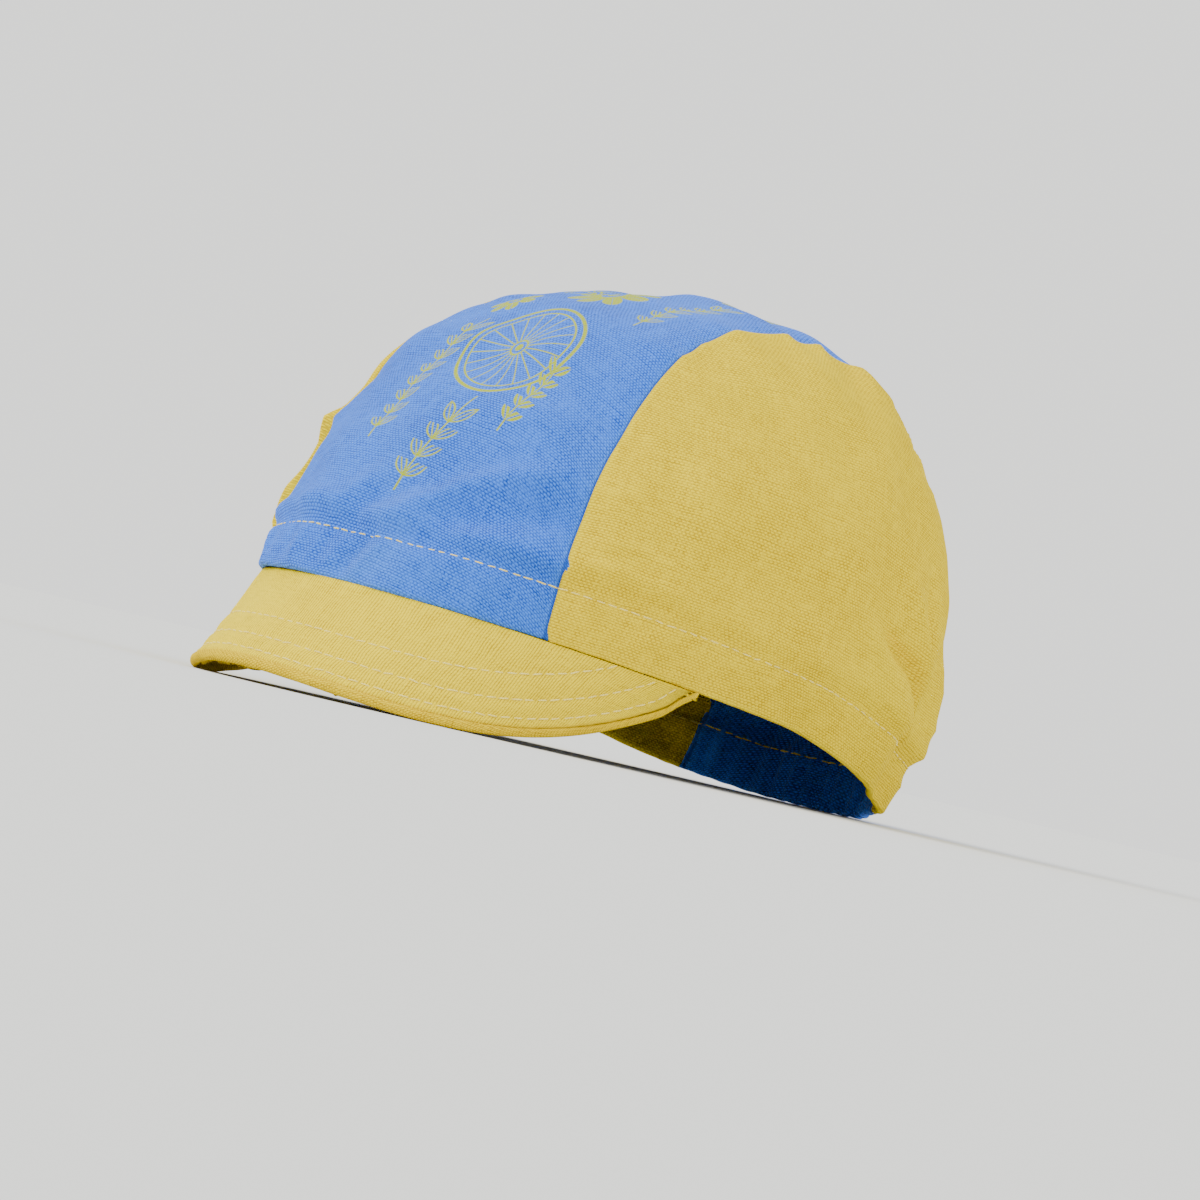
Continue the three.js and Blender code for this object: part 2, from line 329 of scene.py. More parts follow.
    def hem(self, count: int = 360) -> Line:
        """The hem's edge, once round from the back over the right, front and left."""
        turn = np.linspace(-math.pi, math.pi, count + 1)
        return Line(self.point(turn, np.zeros_like(turn)))

    def seam(self, side: Side, count: int = 240) -> Line:
        """One seam, from the front hem over the top to the back hem."""
        points = self.lengthwise(np.array([float(side.value)]))[0][0]
        run = lengths_along(points, 0)
        return Line(at_lengths(points, run, np.linspace(0, run[-1], count)))


@dataclass(frozen=True)
class Fold:
    """An upright fold: degrees round the cap, shares of its height, and a push in mm."""

    turn: float
    lean: float
    width: float
    low: float
    high: float
    push: float


@dataclass(frozen=True)
class Ridge:
    """A soft ridge or dip along a line of (turn in degrees, share of the height)."""

    places: tuple[tuple[float, float], ...]
    width: float
    push: float


@dataclass(frozen=True)
class Gather:
    """A stretch of seam that is drawn up into small bumps.

    start and end are shares of the seam from the front; pitch, height and reach are mm.
    """

    side: Side
    start: float
    end: float
    pitch: float
    height: float
    reach: float


FOLDS = (
    Fold(84, 12, 9, 0.08, 0.6, 0.7),
    Fold(104, 10, 7, 0.08, 0.55, -0.9),
    Fold(118, 8, 6, 0.02, 0.5, 1.6),
    Fold(130, 6, 4.5, 0.0, 0.42, -2.1),
    Fold(141, 5, 4.5, 0.0, 0.48, 2.0),
    Fold(152, 4, 4.5, 0.0, 0.38, -1.8),
    Fold(163, 2, 4.5, 0.0, 0.42, 1.9),
    Fold(173, 0, 4, 0.0, 0.34, -1.8),
)

RIDGES = (
    Ridge(((12, 0.19), (17.5, 0.262), (20.5, 0.302), (26, 0.335), (36, 0.39)), 3.2, 2.3),
    Ridge(((17, 0.15), (24, 0.21), (31, 0.255), (42, 0.3)), 5.0, -2.8),
    Ridge(((4, 0.31), (-1, 0.2), (-12, 0.17)), 4.2, 1.5),
    Ridge(((11, 0.3), (6, 0.22), (2, 0.16)), 3.4, -1.6),
    Ridge(((-1, 0.01), (0, 0.12)), 1.1, -0.8),
    Ridge(((3, 0.02), (5, 0.12)), 1.3, 1.0),
    Ridge(((6.5, 0.01), (9, 0.13)), 1.1, -1.2),
    Ridge(((10, 0.02), (13.5, 0.12)), 1.4, 1.0),
    Ridge(((-7, 0.02), (-8, 0.11)), 1.6, 0.9),
    Ridge(((-11, 0.02), (-13, 0.11)), 1.3, -0.8),
    Ridge(((-20, 0.0), (-24, 0.1)), 1.6, 0.7),
    Ridge(((19, 0.02), (22, 0.11)), 2.2, 0.45),
    Ridge(((28, 0.03), (30, 0.11)), 2.4, -0.3),
    Ridge(((8, 0.978), (-8, 0.965), (-22, 0.935), (-33, 0.89)), 12.0, -3.6),
    Ridge(((22, 0.62), (10, 0.6), (-6, 0.63), (-20, 0.6)), 9.0, -0.8),
    Ridge(((34, 0.56), (20, 0.5), (4, 0.47)), 7.0, 0.7),
    Ridge(((46, 0.2), (55, 0.21), (66, 0.2)), 1.9, 0.7),
    Ridge(((47, 0.155), (56, 0.165), (68, 0.16)), 2.0, -0.5),
    Ridge(((46, 0.26), (54, 0.27), (62, 0.25)), 2.2, 0.5),
    Ridge(((60, 0.03), (66, 0.1)), 2.2, 0.5),
    Ridge(((56, 0.45), (66, 0.43), (76, 0.4)), 9.0, 0.9),
    Ridge(((57, 0.7), (66, 0.66), (80, 0.62)), 10.0, -0.8),
    Ridge(((70, 0.55), (82, 0.5), (92, 0.45)), 6.0, 0.7),
    Ridge(((104.5, 0.323), (109, 0.29), (115, 0.274), (120, 0.235), (128, 0.1)), 2.3, -3.6),
    Ridge(((99, 0.32), (105, 0.27), (112, 0.22), (120, 0.12)), 4.5, 1.9),
    Ridge(((117, 0.5), (117.5, 0.38), (121, 0.31), (128.5, 0.18)), 2.8, -2.2),
    Ridge(((108, 0.46), (112, 0.38), (117, 0.33), (123, 0.25)), 3.0, 1.8),
    Ridge(((91, 0.44), (95, 0.34), (102, 0.26)), 5.0, 0.8),
    Ridge(((87, 0.4), (90, 0.3), (96, 0.22)), 4.0, -0.7),
    Ridge(((106, 0.91), (113, 0.89), (118, 0.86)), 6.5, 1.8),
    Ridge(((120, 0.8), (127, 0.74), (131, 0.68)), 7.0, -0.9),
    Ridge(((134, 0.48), (137, 0.41), (138, 0.34)), 7.0, -1.3),
)

GATHERS = (
    Gather(Side.LEFT, 0.0, 0.28, 12.0, 0.3, 6.0),
    Gather(Side.LEFT, 0.28, 1.0, 12.6, 1.15, 14.0),
    Gather(Side.RIGHT, 0.4, 1.0, 12.2, 1.1, 14.0),
)

# The wearer's right seam in front, drawn up in uneven bumps: shares of the crown's height,
# and how far the side panel and the centre panel stand out beside the seam, in mm.
RIGHT_SEAM = {
    "height": (
        0.0, 0.06, 0.12, 0.17, 0.24, 0.3, 0.37, 0.435, 0.48, 0.56, 0.64, 0.71, 0.79, 0.84, 0.9,
    ),
    "own": (3.0, 2.6, 1.2, 1.7, 2.2, 1.2, 0.3, 2.3, -0.8, -2.1, -1.4, -0.6, -1.4, -0.4, -0.4),
    "other": (
        -2.6, -3.6, -4.6, -4.2, -4.4, -5.2, -5.0, -1.4, -3.0, -3.4, -2.4, -1.8, -2.4, -2.0, -2.2,
    ),
}

# What the hem's stitches do to the cloth: mm above the stitches, width and push.
HEM_BELLS = ((0.0, 0.9, -0.75), (2.0, 1.5, -0.6), (5.6, 3.2, 1.5))

# Small waves along the turned band: height, slant, length and phase.
BAND_WAVES = ((0.14, 0.35, 7.3, 1.1), (0.1, -0.5, 11.9, 0.3))

# How the gathers' places wander along a seam: mm, length and phase.
GATHER_DRIFT = ((4.6, 17.0, 1.7), (2.2, 7.3, 0.4))


class Panel(Enum):
    """The crown's panels."""

    CENTRE = 0
    LEFT = 1
    RIGHT = -1


@dataclass(frozen=True)
class CrownRelief:
    """What the canvas does over the smooth form: hem, seams, folds and waves, in mm."""

    shape: CrownShape
    hem: Line
    seams: dict[Side, Line]
    cloth: float = 1.3
    turn_up: float = 1.1
    turn_up_ends: tuple[float, float] = (13.8, 15.4)
    stitch_line: float = 14.0
    narrow: float = 0.24
    narrow_turn: float = -40.0
    narrow_width: float = 22.0
    fold_fade: float = 0.06
    bulge: float = 1.0
    bulge_height: float = 21.75
    bulge_width: float = 7.975
    side_share: float = 0.55
    band_puff: float = 0.35
    band_ends: tuple[float, float] = (12.0, 16.0)
    waist: float = 2.2
    waist_ends: tuple[float, float] = (11.0, 18.0)
    waist_turns: tuple[float, float] = (30.0, 75.0)
    ruffle: float = 0.9
    ruffle_pitch: float = 6.2
    ruffle_ends: tuple[float, float] = (14.0, 34.0)
    ruffle_turns: tuple[float, float] = (22.0, 44.0)
    ridge_ends: tuple[float, float, float, float] = (-0.15, 0.2, 0.8, 1.15)
    gather_fade: float = 0.03
    gather_crest: float = 1.6
    centre_gather: float = 0.6
    right_front: tuple[float, float] = (0.36, 0.46)
    own_reach: float = 8.0
    other_reach: float = 18.0
    edge_turn: float = 0.75
    edge_width: float = 1.7
    lip: float = 0.3
    lip_place: float = 1.6
    lip_width: float = 1.8
    seam_tuck: float = 0.45
    tuck_width: float = 2.0
    wave: float = 0.26
    waves: int = 10
    wave_lengths: tuple[float, float] = (18.0, 44.0)

    def to_stitches(self, turn: Array) -> Array:
        """How far the stitches are from the hem's edge: less on the wearer's right in front."""
        narrowed = hump(np.degrees(turn), self.narrow_turn, self.narrow_width)
        return self.stitch_line * (1 - self.narrow * narrowed)

    def from_hem(self, points: Array, turn: Array) -> tuple[Array, Array]:
        """How far points are from the hem's edge, scaled to where the stitches are, and along."""
        distance, along = self.hem.near(points)
        return distance * self.stitch_line / self.to_stitches(turn), along

    def thickness(self, hem_distance: Array) -> Array:
        """The cloth's thickness, which is more where the hem is turned up."""
        return self.cloth + self.turn_up * (1 - smoothstep(hem_distance, *self.turn_up_ends))

    def push(self, points: Array, turn: Array, height: Array, panel: Panel) -> Array:
        """How far the cloth stands out of the smooth form.

        Args:
            points: points of the smooth form.
            turn: their turns in radians.
            height: their shares of the crown's height.
            panel: the panel that they are on.

        Returns:
            The sum of the folds, ridges, hem, seams and waves, in mm.
        """
        distance, along = self.from_hem(points, turn)
        share = 1.0 if panel is Panel.CENTRE else self.side_share
        total = self._folds(turn, height) + self._hem(distance, along, turn, share)
        for ridge in RIDGES:
            total += self._ridge(ridge, points)
        for side, seam in self.seams.items():
            total += self._seam(side, seam, points, height, panel)
        return total + self._waves(points)

    def _folds(self, turn: Array, height: Array) -> Array:
        """A bulge over the hem, and a bell round each fold's turn, which leans with height."""
        degrees = np.abs(np.degrees(turn))
        from_front = np.minimum(degrees, 360 - degrees)
        total = self.bulge * hump(height * self.shape.height, self.bulge_height, self.bulge_width)
        for fold in FOLDS:
            low, high = fold.low - self.fold_fade, fold.low + self.fold_fade
            bell = hump(from_front, fold.turn + fold.lean * height, fold.width)
            total += fold.push * within(height, low, high, fold.high / 2, fold.high) * bell
        return total

    def _hem(self, distance: Array, along: Array, turn: Array, share: float) -> Array:
        """The turned band, the dip of its stitches, the puff above it and the ruffles.

        The share is how strongly the stitches draw the cloth in.

        The ruffles are waves along the hem, strongest where a narrow elastic would draw it
        in at the back, and they fade above the band. There the band lies deeper than the
        cloth above it.
        """
        band = np.clip(distance / self.stitch_line, 0, 1)
        total = self.band_puff * np.sin(math.pi * band)
        for above, width, push in HEM_BELLS:
            total += share * push * hump(distance, self.stitch_line + above, width)
        band_only = 1 - smoothstep(distance, *self.band_ends)
        for size, slant, length, phase in BAND_WAVES:
            run = along + slant * distance
            total += size * band_only * np.sin(2 * math.pi * run / length + phase)
        from_back = np.abs(np.degrees(np.arctan2(np.sin(turn), -np.cos(turn))))
        drawn = self.ruffle * (1 - smoothstep(from_back, *self.ruffle_turns))
        drawn *= 1 - smoothstep(distance, *self.ruffle_ends)
        wobble = along + 1.7 * np.sin(along / 9.0)
        total += drawn * np.sin(2 * math.pi * wobble / self.ruffle_pitch)
        waist = self.waist * (1 - smoothstep(distance, *self.waist_ends))
        return total - waist * (1 - smoothstep(from_back, *self.waist_turns))

    def _ridge(self, ridge: Ridge, points: Array) -> Array:
        """A bell round the ridge's line, fading at its ends."""
        turn, height = (np.array(column) for column in zip(*ridge.places))
        steps = np.linspace(0, len(turn) - 1, 40)
        index = np.arange(len(turn))
        turn = np.radians(np.interp(steps, index, turn))
        place = self.shape.place_at(np.interp(steps, index, height))
        line = Line(self.shape.point(turn, place))
        distance, along = line.near(points)
        ends = within(along / line.along[-1], *self.ridge_ends)
        return ridge.push * hump(distance, 0.0, ridge.width) * ends

    def _seam(
        self, side: Side, seam: Line, points: Array, height: Array, panel: Panel
    ) -> Array:
        """The seam's tuck and its gathers.

        The side panel's edge stands proud and the centre panel dips under it. A gather is 1
        less gather_crest times the size of a sine along the seam to the power 0.9, whose
        pitch and height wander, which makes narrow crests between broad dips. It fades away
        from the seam. On the right in front the two panels follow RIGHT_SEAM, and the side
        panel's edge turns down to meet the centre panel.
        """
        distance, along = seam.near(points)
        wobble = along.copy()
        for size, length, phase in GATHER_DRIFT:
            wobble += size * np.sin(along / length + phase)
        uneven = 0.75 + 0.25 * np.sin(along / 23.0 + 0.8)
        share = along / seam.along[-1]
        own = panel.value == side.value
        part = 1.0 if own else self.centre_gather
        total = np.zeros_like(distance)
        for gather in GATHERS:
            if gather.side is not side:
                continue
            fade, start, end = self.gather_fade, gather.start, gather.end
            window = within(share, start - fade, start + fade, end - fade, end + fade)
            sine = np.abs(np.sin(math.pi * wobble / gather.pitch)) ** 0.9
            bumps = window * uneven * (1 - self.gather_crest * sine)
            near = np.exp(-((distance / (part * gather.reach)) ** 1.3))
            total += part * gather.height * bumps * near
        if side is Side.RIGHT:
            front = 1 - smoothstep(share, *self.right_front)
            mine, other = (
                np.interp(height, RIGHT_SEAM["height"], RIGHT_SEAM[name]) * front
                for name in ("own", "other")
            )
            if own:
                total += mine * hump(distance, 0.0, self.own_reach)
                edge = 1 - smoothstep(distance, 0.0, self.edge_width)
                total -= self.edge_turn * (mine - other) * edge
            else:
                total += other * hump(distance, 0.0, self.other_reach)
        if own:
            return total + self.lip * hump(distance, self.lip_place, self.lip_width)
        return total - self.seam_tuck * hump(distance, 0.0, self.tuck_width)

    def _waves(self, points: Array) -> Array:
        """Slow waves of no one direction: sines along fixed random directions."""
        random = np.random.default_rng(SEED)
        total = np.zeros(points.shape[:-1])
        for _ in range(self.waves):
            heading = unit(random.normal(size=3))
            length, phase = random.uniform(*self.wave_lengths), random.uniform(0, 2 * math.pi)
            total += self.wave * np.sin(2 * math.pi * (points @ heading) / length + phase)
        return total


@dataclass
class Patch:
    """A grid of the smooth form under one panel: columns by rows."""

    points: Array
    turn: Array
    place: Array
    cloth: Array


EDGE_STEPS = (0.0, 0.06, 0.2, 0.45, 0.8, 1.3)


def spread(length: float, count: int) -> Array:
    """Distances along a line: close together at its two ends, and even between them."""
    edge = np.array(EDGE_STEPS) * min(1.0, length / (6 * EDGE_STEPS[-1]))
    middle = np.linspace(edge[-1], length - edge[-1], count - 2 * len(edge) + 2)
    return np.concatenate([edge[:-1], middle, length - edge[:-1][::-1]])


def resample(columns: list[Array], count: int, even: bool = False) -> list[Array]:
    """Columns of points and of values beside them, set out again along their lengths.

    Args:
        columns: first the points, lines by samples by 3, then arrays of lines by samples.
        count: how many points each line gets.
        even: whether they are even, and not closer at the ends.

    Returns:
        The same arrays with count samples to a line.
    """
    points = columns[0]
    run = lengths_along(points, 1)
    stacked = np.concatenate([points, *(c[..., None] for c in columns[1:])], axis=-1)
    made = np.empty((len(points), count, stacked.shape[-1]))
    for line in range(len(points)):
        total = run[line, -1]
        at = np.linspace(0, total, count) if even else spread(total, count)
        made[line] = at_lengths(stacked[line], run[line], at)
    return [made[..., :3], *(made[..., 3 + k] for k in range(len(columns) - 1))]


def shell(outer: Array, inner: Array) -> tuple[Array, Array, Array]:
    """A closed shell from two grids that share their rims.

    Args:
        outer: the outer face, columns by rows by 3.
        inner: the inner face, whose rim points are not used.

    Returns:
        The points, the four-sided faces, and which points are on the outer face.
    """
    columns, rows = outer.shape[:2]
    front = np.arange(columns * rows).reshape(columns, rows)
    back = front.copy()
    back[1:-1, 1:-1] = columns * rows + np.arange((columns - 2) * (rows - 2)).reshape(
        columns - 2, rows - 2
    )
    points = np.concatenate([outer.reshape(-1, 3), inner[1:-1, 1:-1].reshape(-1, 3)])
    quads = []
    for index, flip in ((front, False), (back, True)):
        a, b, c, d = index[:-1, :-1], index[1:, :-1], index[1:, 1:], index[:-1, 1:]
        corners = (a, d, c, b) if flip else (a, b, c, d)
        quads.append(np.stack([corner.ravel() for corner in corners], axis=-1))
    sides = np.concatenate([np.ones(columns * rows), np.zeros((columns - 2) * (rows - 2))])
    return points, np.concatenate(quads), sides


def both_faces(values: Array) -> Array:
    """Values on a grid, set out for the points of its shell."""
    last = values.shape[-1] if values.ndim == 3 else 1
    flat = values.reshape(-1, last)
    return np.concatenate([flat, values[1:-1, 1:-1].reshape(-1, last)])


def rim_drop(distance: Array) -> Array:
    """A rounded rim: 1 at the edge and 0 from one half thickness in, on a quarter circle."""
    return 1 - np.sqrt(1 - (1 - np.clip(distance, 0, 1)) ** 2)


def make_object(
    name: str, points: Array, faces: Array, material: bpy.types.Material, **layers: Array
) -> bpy.types.Object:
    """A smooth mesh object at the origin.

    Args:
        name: the piece's name.
        points: its points in metres.
        faces: its faces, as rows of point numbers.
        material: its finish.
        layers: named values for the shader, three numbers to a point.

    Returns:
        The object, linked to the scene.
    """
    mesh = bpy.data.meshes.new(name)
    mesh.from_pydata(points.tolist(), [], faces.tolist())
    for layer, values in layers.items():
        attribute = mesh.attributes.new(layer, "FLOAT_VECTOR", "POINT")
        attribute.data.foreach_set("vector", values.astype(np.float32).ravel())
    mesh.polygons.foreach_set("use_smooth", np.ones(len(mesh.polygons), bool))
    mesh.materials.append(material)
    mesh.update()
    made = bpy.data.objects.new(name, mesh)
    bpy.context.scene.collection.objects.link(made)
    return made


def cloth_piece(
    name: str,
    finish: bpy.types.Material,
    standing: Standing,
    points: Array,
    push: Array,
    thickness: "Array | float",
    cloth: Array,
    edges: tuple[Array, ...],
) -> bpy.types.Object:
    """A layer of cloth as a closed shell with rounded rims.

    The outer face stands out of the points by the push, square to them, and the inner face
    lies the thickness under it. Within half the thickness of the rim both bend together.

    Args:
        name: the piece's name.
        finish: its material.
        standing: how the cap rests.
        points: a grid of points in mm.
        push: how far the outer face stands out there.
        thickness: the cloth's thickness.
        cloth: the places on the cloth, for the shader.
        edges: distances from the hem and from the seams, and a spare, for the shader.

    Returns:
        The piece.
    """
    half, normals = thickness / 2, grid_normals(points)
    across, along = lengths_along(points, 0), lengths_along(points, 1)
    side_edge = np.minimum(across, across[-1:] - across)
    row_edge = np.minimum(along, along[:, -1:] - along)
    drop = half * np.maximum(rim_drop(side_edge / half), rim_drop(row_edge / half))
    outer = points + normals * (push - drop)[..., None]
    inner = points + normals * (push - thickness + drop)[..., None]
    made, faces, sides = shell(outer, inner)
    layers = {
        "cloth": np.concatenate([both_faces(cloth), sides[:, None]], axis=-1),
        "edges": both_faces(np.stack(edges, axis=-1)),
    }
    return make_object(name, standing.place(made), faces, finish, **layers)


class Value:
    """A number on its way through a material's nodes, used as in plain maths."""

    def __init__(self, paint: "Paint", socket: bpy.types.NodeSocket) -> None:
        """Args: paint: the material. socket: the output that gives the number."""
        self.paint = paint
        self.socket = socket

    def _maths(self, operation: str, *others: "Value | float") -> "Value":
        """One Math node on this value and others."""
        return self.paint.maths(operation, self, *others)

    def __add__(self, other: "Value | float") -> "Value":
        """This plus the other."""
        return self._maths("ADD", other)

    __radd__ = __add__

    def __sub__(self, other: "Value | float") -> "Value":
        """This less the other."""
        return self._maths("SUBTRACT", other)

    def __rsub__(self, other: float) -> "Value":
        """The other less this."""
        return self.paint.maths("SUBTRACT", other, self)

    def __mul__(self, other: "Value | float") -> "Value":
        """This times the other."""
        return self._maths("MULTIPLY", other)

    __rmul__ = __mul__

    def __truediv__(self, other: "Value | float") -> "Value":
        """This over the other."""
        return self._maths("DIVIDE", other)

    def __pow__(self, other: float) -> "Value":
        """This to a power."""
        return self._maths("POWER", other)

    def least(self, other: "Value | float") -> "Value":
        """The lesser of this and the other."""
        return self._maths("MINIMUM", other)

    def most(self, other: "Value | float") -> "Value":
        """The greater of this and the other."""
        return self._maths("MAXIMUM", other)

    def size(self) -> "Value":
        """This without its sign."""
        return self._maths("ABSOLUTE")

    def cosine(self) -> "Value":
        """The cosine of this angle."""
        return self._maths("COSINE")

    def sine(self) -> "Value":
        """The sine of this angle."""
        return self._maths("SINE")

    def root(self) -> "Value":
        """The square root."""
        return self._maths("SQRT")

    def nearest_whole(self) -> "Value":
        """The nearest whole number."""
        return self._maths("ROUND")

    def between(self, low: float, high: float) -> "Value":
        """Goes smoothly from 0 at low to 1 at high; low may be the greater."""
        sockets = {"Value": self, "From Min": low, "From Max": high}
        settings = {"interpolation_type": "SMOOTHSTEP"}
        node = self.paint.node("ShaderNodeMapRange", settings, sockets)
        return Value(self.paint, node.outputs[0])


class Paint:
    """One material and the nodes that are added to it."""

    def __init__(self, name: str) -> None:
        """Args: name: the material's name."""
        self.material = bpy.data.materials.new(name)
        self.material.use_nodes = True
        self.tree = self.material.node_tree
        self.tree.nodes.clear()

    def node(self, kind: str, settings: dict[str, Any], sockets: dict[Any, Any]) -> bpy.types.Node:
        """Adds a node.

        Args:
            kind: the node's type.
            settings: its settings, which are set first.
            sockets: a value, a Value or an output for each named or numbered input.

        Returns:
            The node.
        """
        node = self.tree.nodes.new(kind)
        for key, value in settings.items():
            setattr(node, key, value)
        for key, value in sockets.items():
            source = value.socket if isinstance(value, Value) else value
            if isinstance(source, bpy.types.NodeSocket):
                self.tree.links.new(source, node.inputs[key])
            else:
                node.inputs[key].default_value = source
        return node

    def maths(self, operation: str, *values: "Value | float") -> Value:
        """One Math node on up to three values."""
        node = self.node("ShaderNodeMath", {"operation": operation}, dict(enumerate(values)))
        return Value(self, node.outputs[0])

    def layer(self, name: str) -> tuple[Value, Value, Value]:
        """The three numbers of one of the mesh's named layers."""
        source = self.node("ShaderNodeAttribute", {"attribute_name": name}, {})
        parts = self.node("ShaderNodeSeparateXYZ", {}, {0: source.outputs["Vector"]})
        return tuple(Value(self, socket) for socket in parts.outputs)

    def noise(self, x: Value, y: Value, z: "Value | float" = 0.0, detail: float = 2.0) -> Value:
        """Soft noise from 0 to 1 at a point, whose numbers are already scaled."""
        spot = self.node("ShaderNodeCombineXYZ", {}, {0: x, 1: y, 2: z})
        sockets = {"Vector": spot.outputs[0], "Scale": 1.0, "Detail": detail}
        return Value(self, self.node("ShaderNodeTexNoise", {}, sockets).outputs[0])

    def bump(self, strength: float, distance: float, height: Value) -> bpy.types.NodeSocket:
        """The normal over a relief, whose full height is the distance in mm."""
        sockets = {"Strength": strength, "Distance": distance * METRES, "Height": height}
        return self.node("ShaderNodeBump", {}, sockets).outputs[0]

    def mix(self, factor: "Value | float", first: Any, second: Any) -> bpy.types.NodeSocket:
        """A colour between two colours, each a colour or an output."""
        node = self.node("ShaderNodeMix", {"data_type": "RGBA"}, {0: factor})
        for index, colour in ((6, first), (7, second)):
            if isinstance(colour, bpy.types.NodeSocket):
                self.tree.links.new(colour, node.inputs[index])
            else:
                node.inputs[index].default_value = (*colour, 1.0)
        return node.outputs[2]

    def cover(
        self, colour: bpy.types.NodeSocket, roughness: "Value | float", normal: Any, sheen: float
    ) -> bpy.types.Material:
        """Ends the material in one cloth surface.

        Args:
            colour: its colour.
            roughness: its roughness.
            normal: the bumped normal.
            sheen: how much its fibres catch the light at a glance.

        Returns:
            The material.
        """
        return self.end({
            "Base Color": colour,
            "Roughness": roughness,
            "Normal": normal,
            "Specular IOR Level": 0.05,
            "Sheen Weight": sheen,
            "Sheen Roughness": 0.4,
        })

    def end(self, sockets: dict[str, Any]) -> bpy.types.Material:
        """Ends the material in one surface with these sockets."""
        surface = self.node("ShaderNodeBsdfPrincipled", {}, sockets)
        self.node("ShaderNodeOutputMaterial", {}, {"Surface": surface.outputs[0]})
        return self.material


@dataclass(frozen=True)
class Wheel:
    """A spoked wheel drawn in thin lines: middle and radius in mm on the cloth."""

    across: float
    along: float
    radius: float
    spokes: int


@dataclass(frozen=True)
class Sprig:
    """A leafy stem: its root, its heading in degrees from along, its length and its bend."""

    across: float
    along: float
    heading: float
    length: float
    bend: float
    leaf: float
    solid: bool


@dataclass(frozen=True)
class Rosette:
    """A flower of round petals: middle, radius, and how many petals."""

    across: float
    along: float
    radius: float
    petals: int


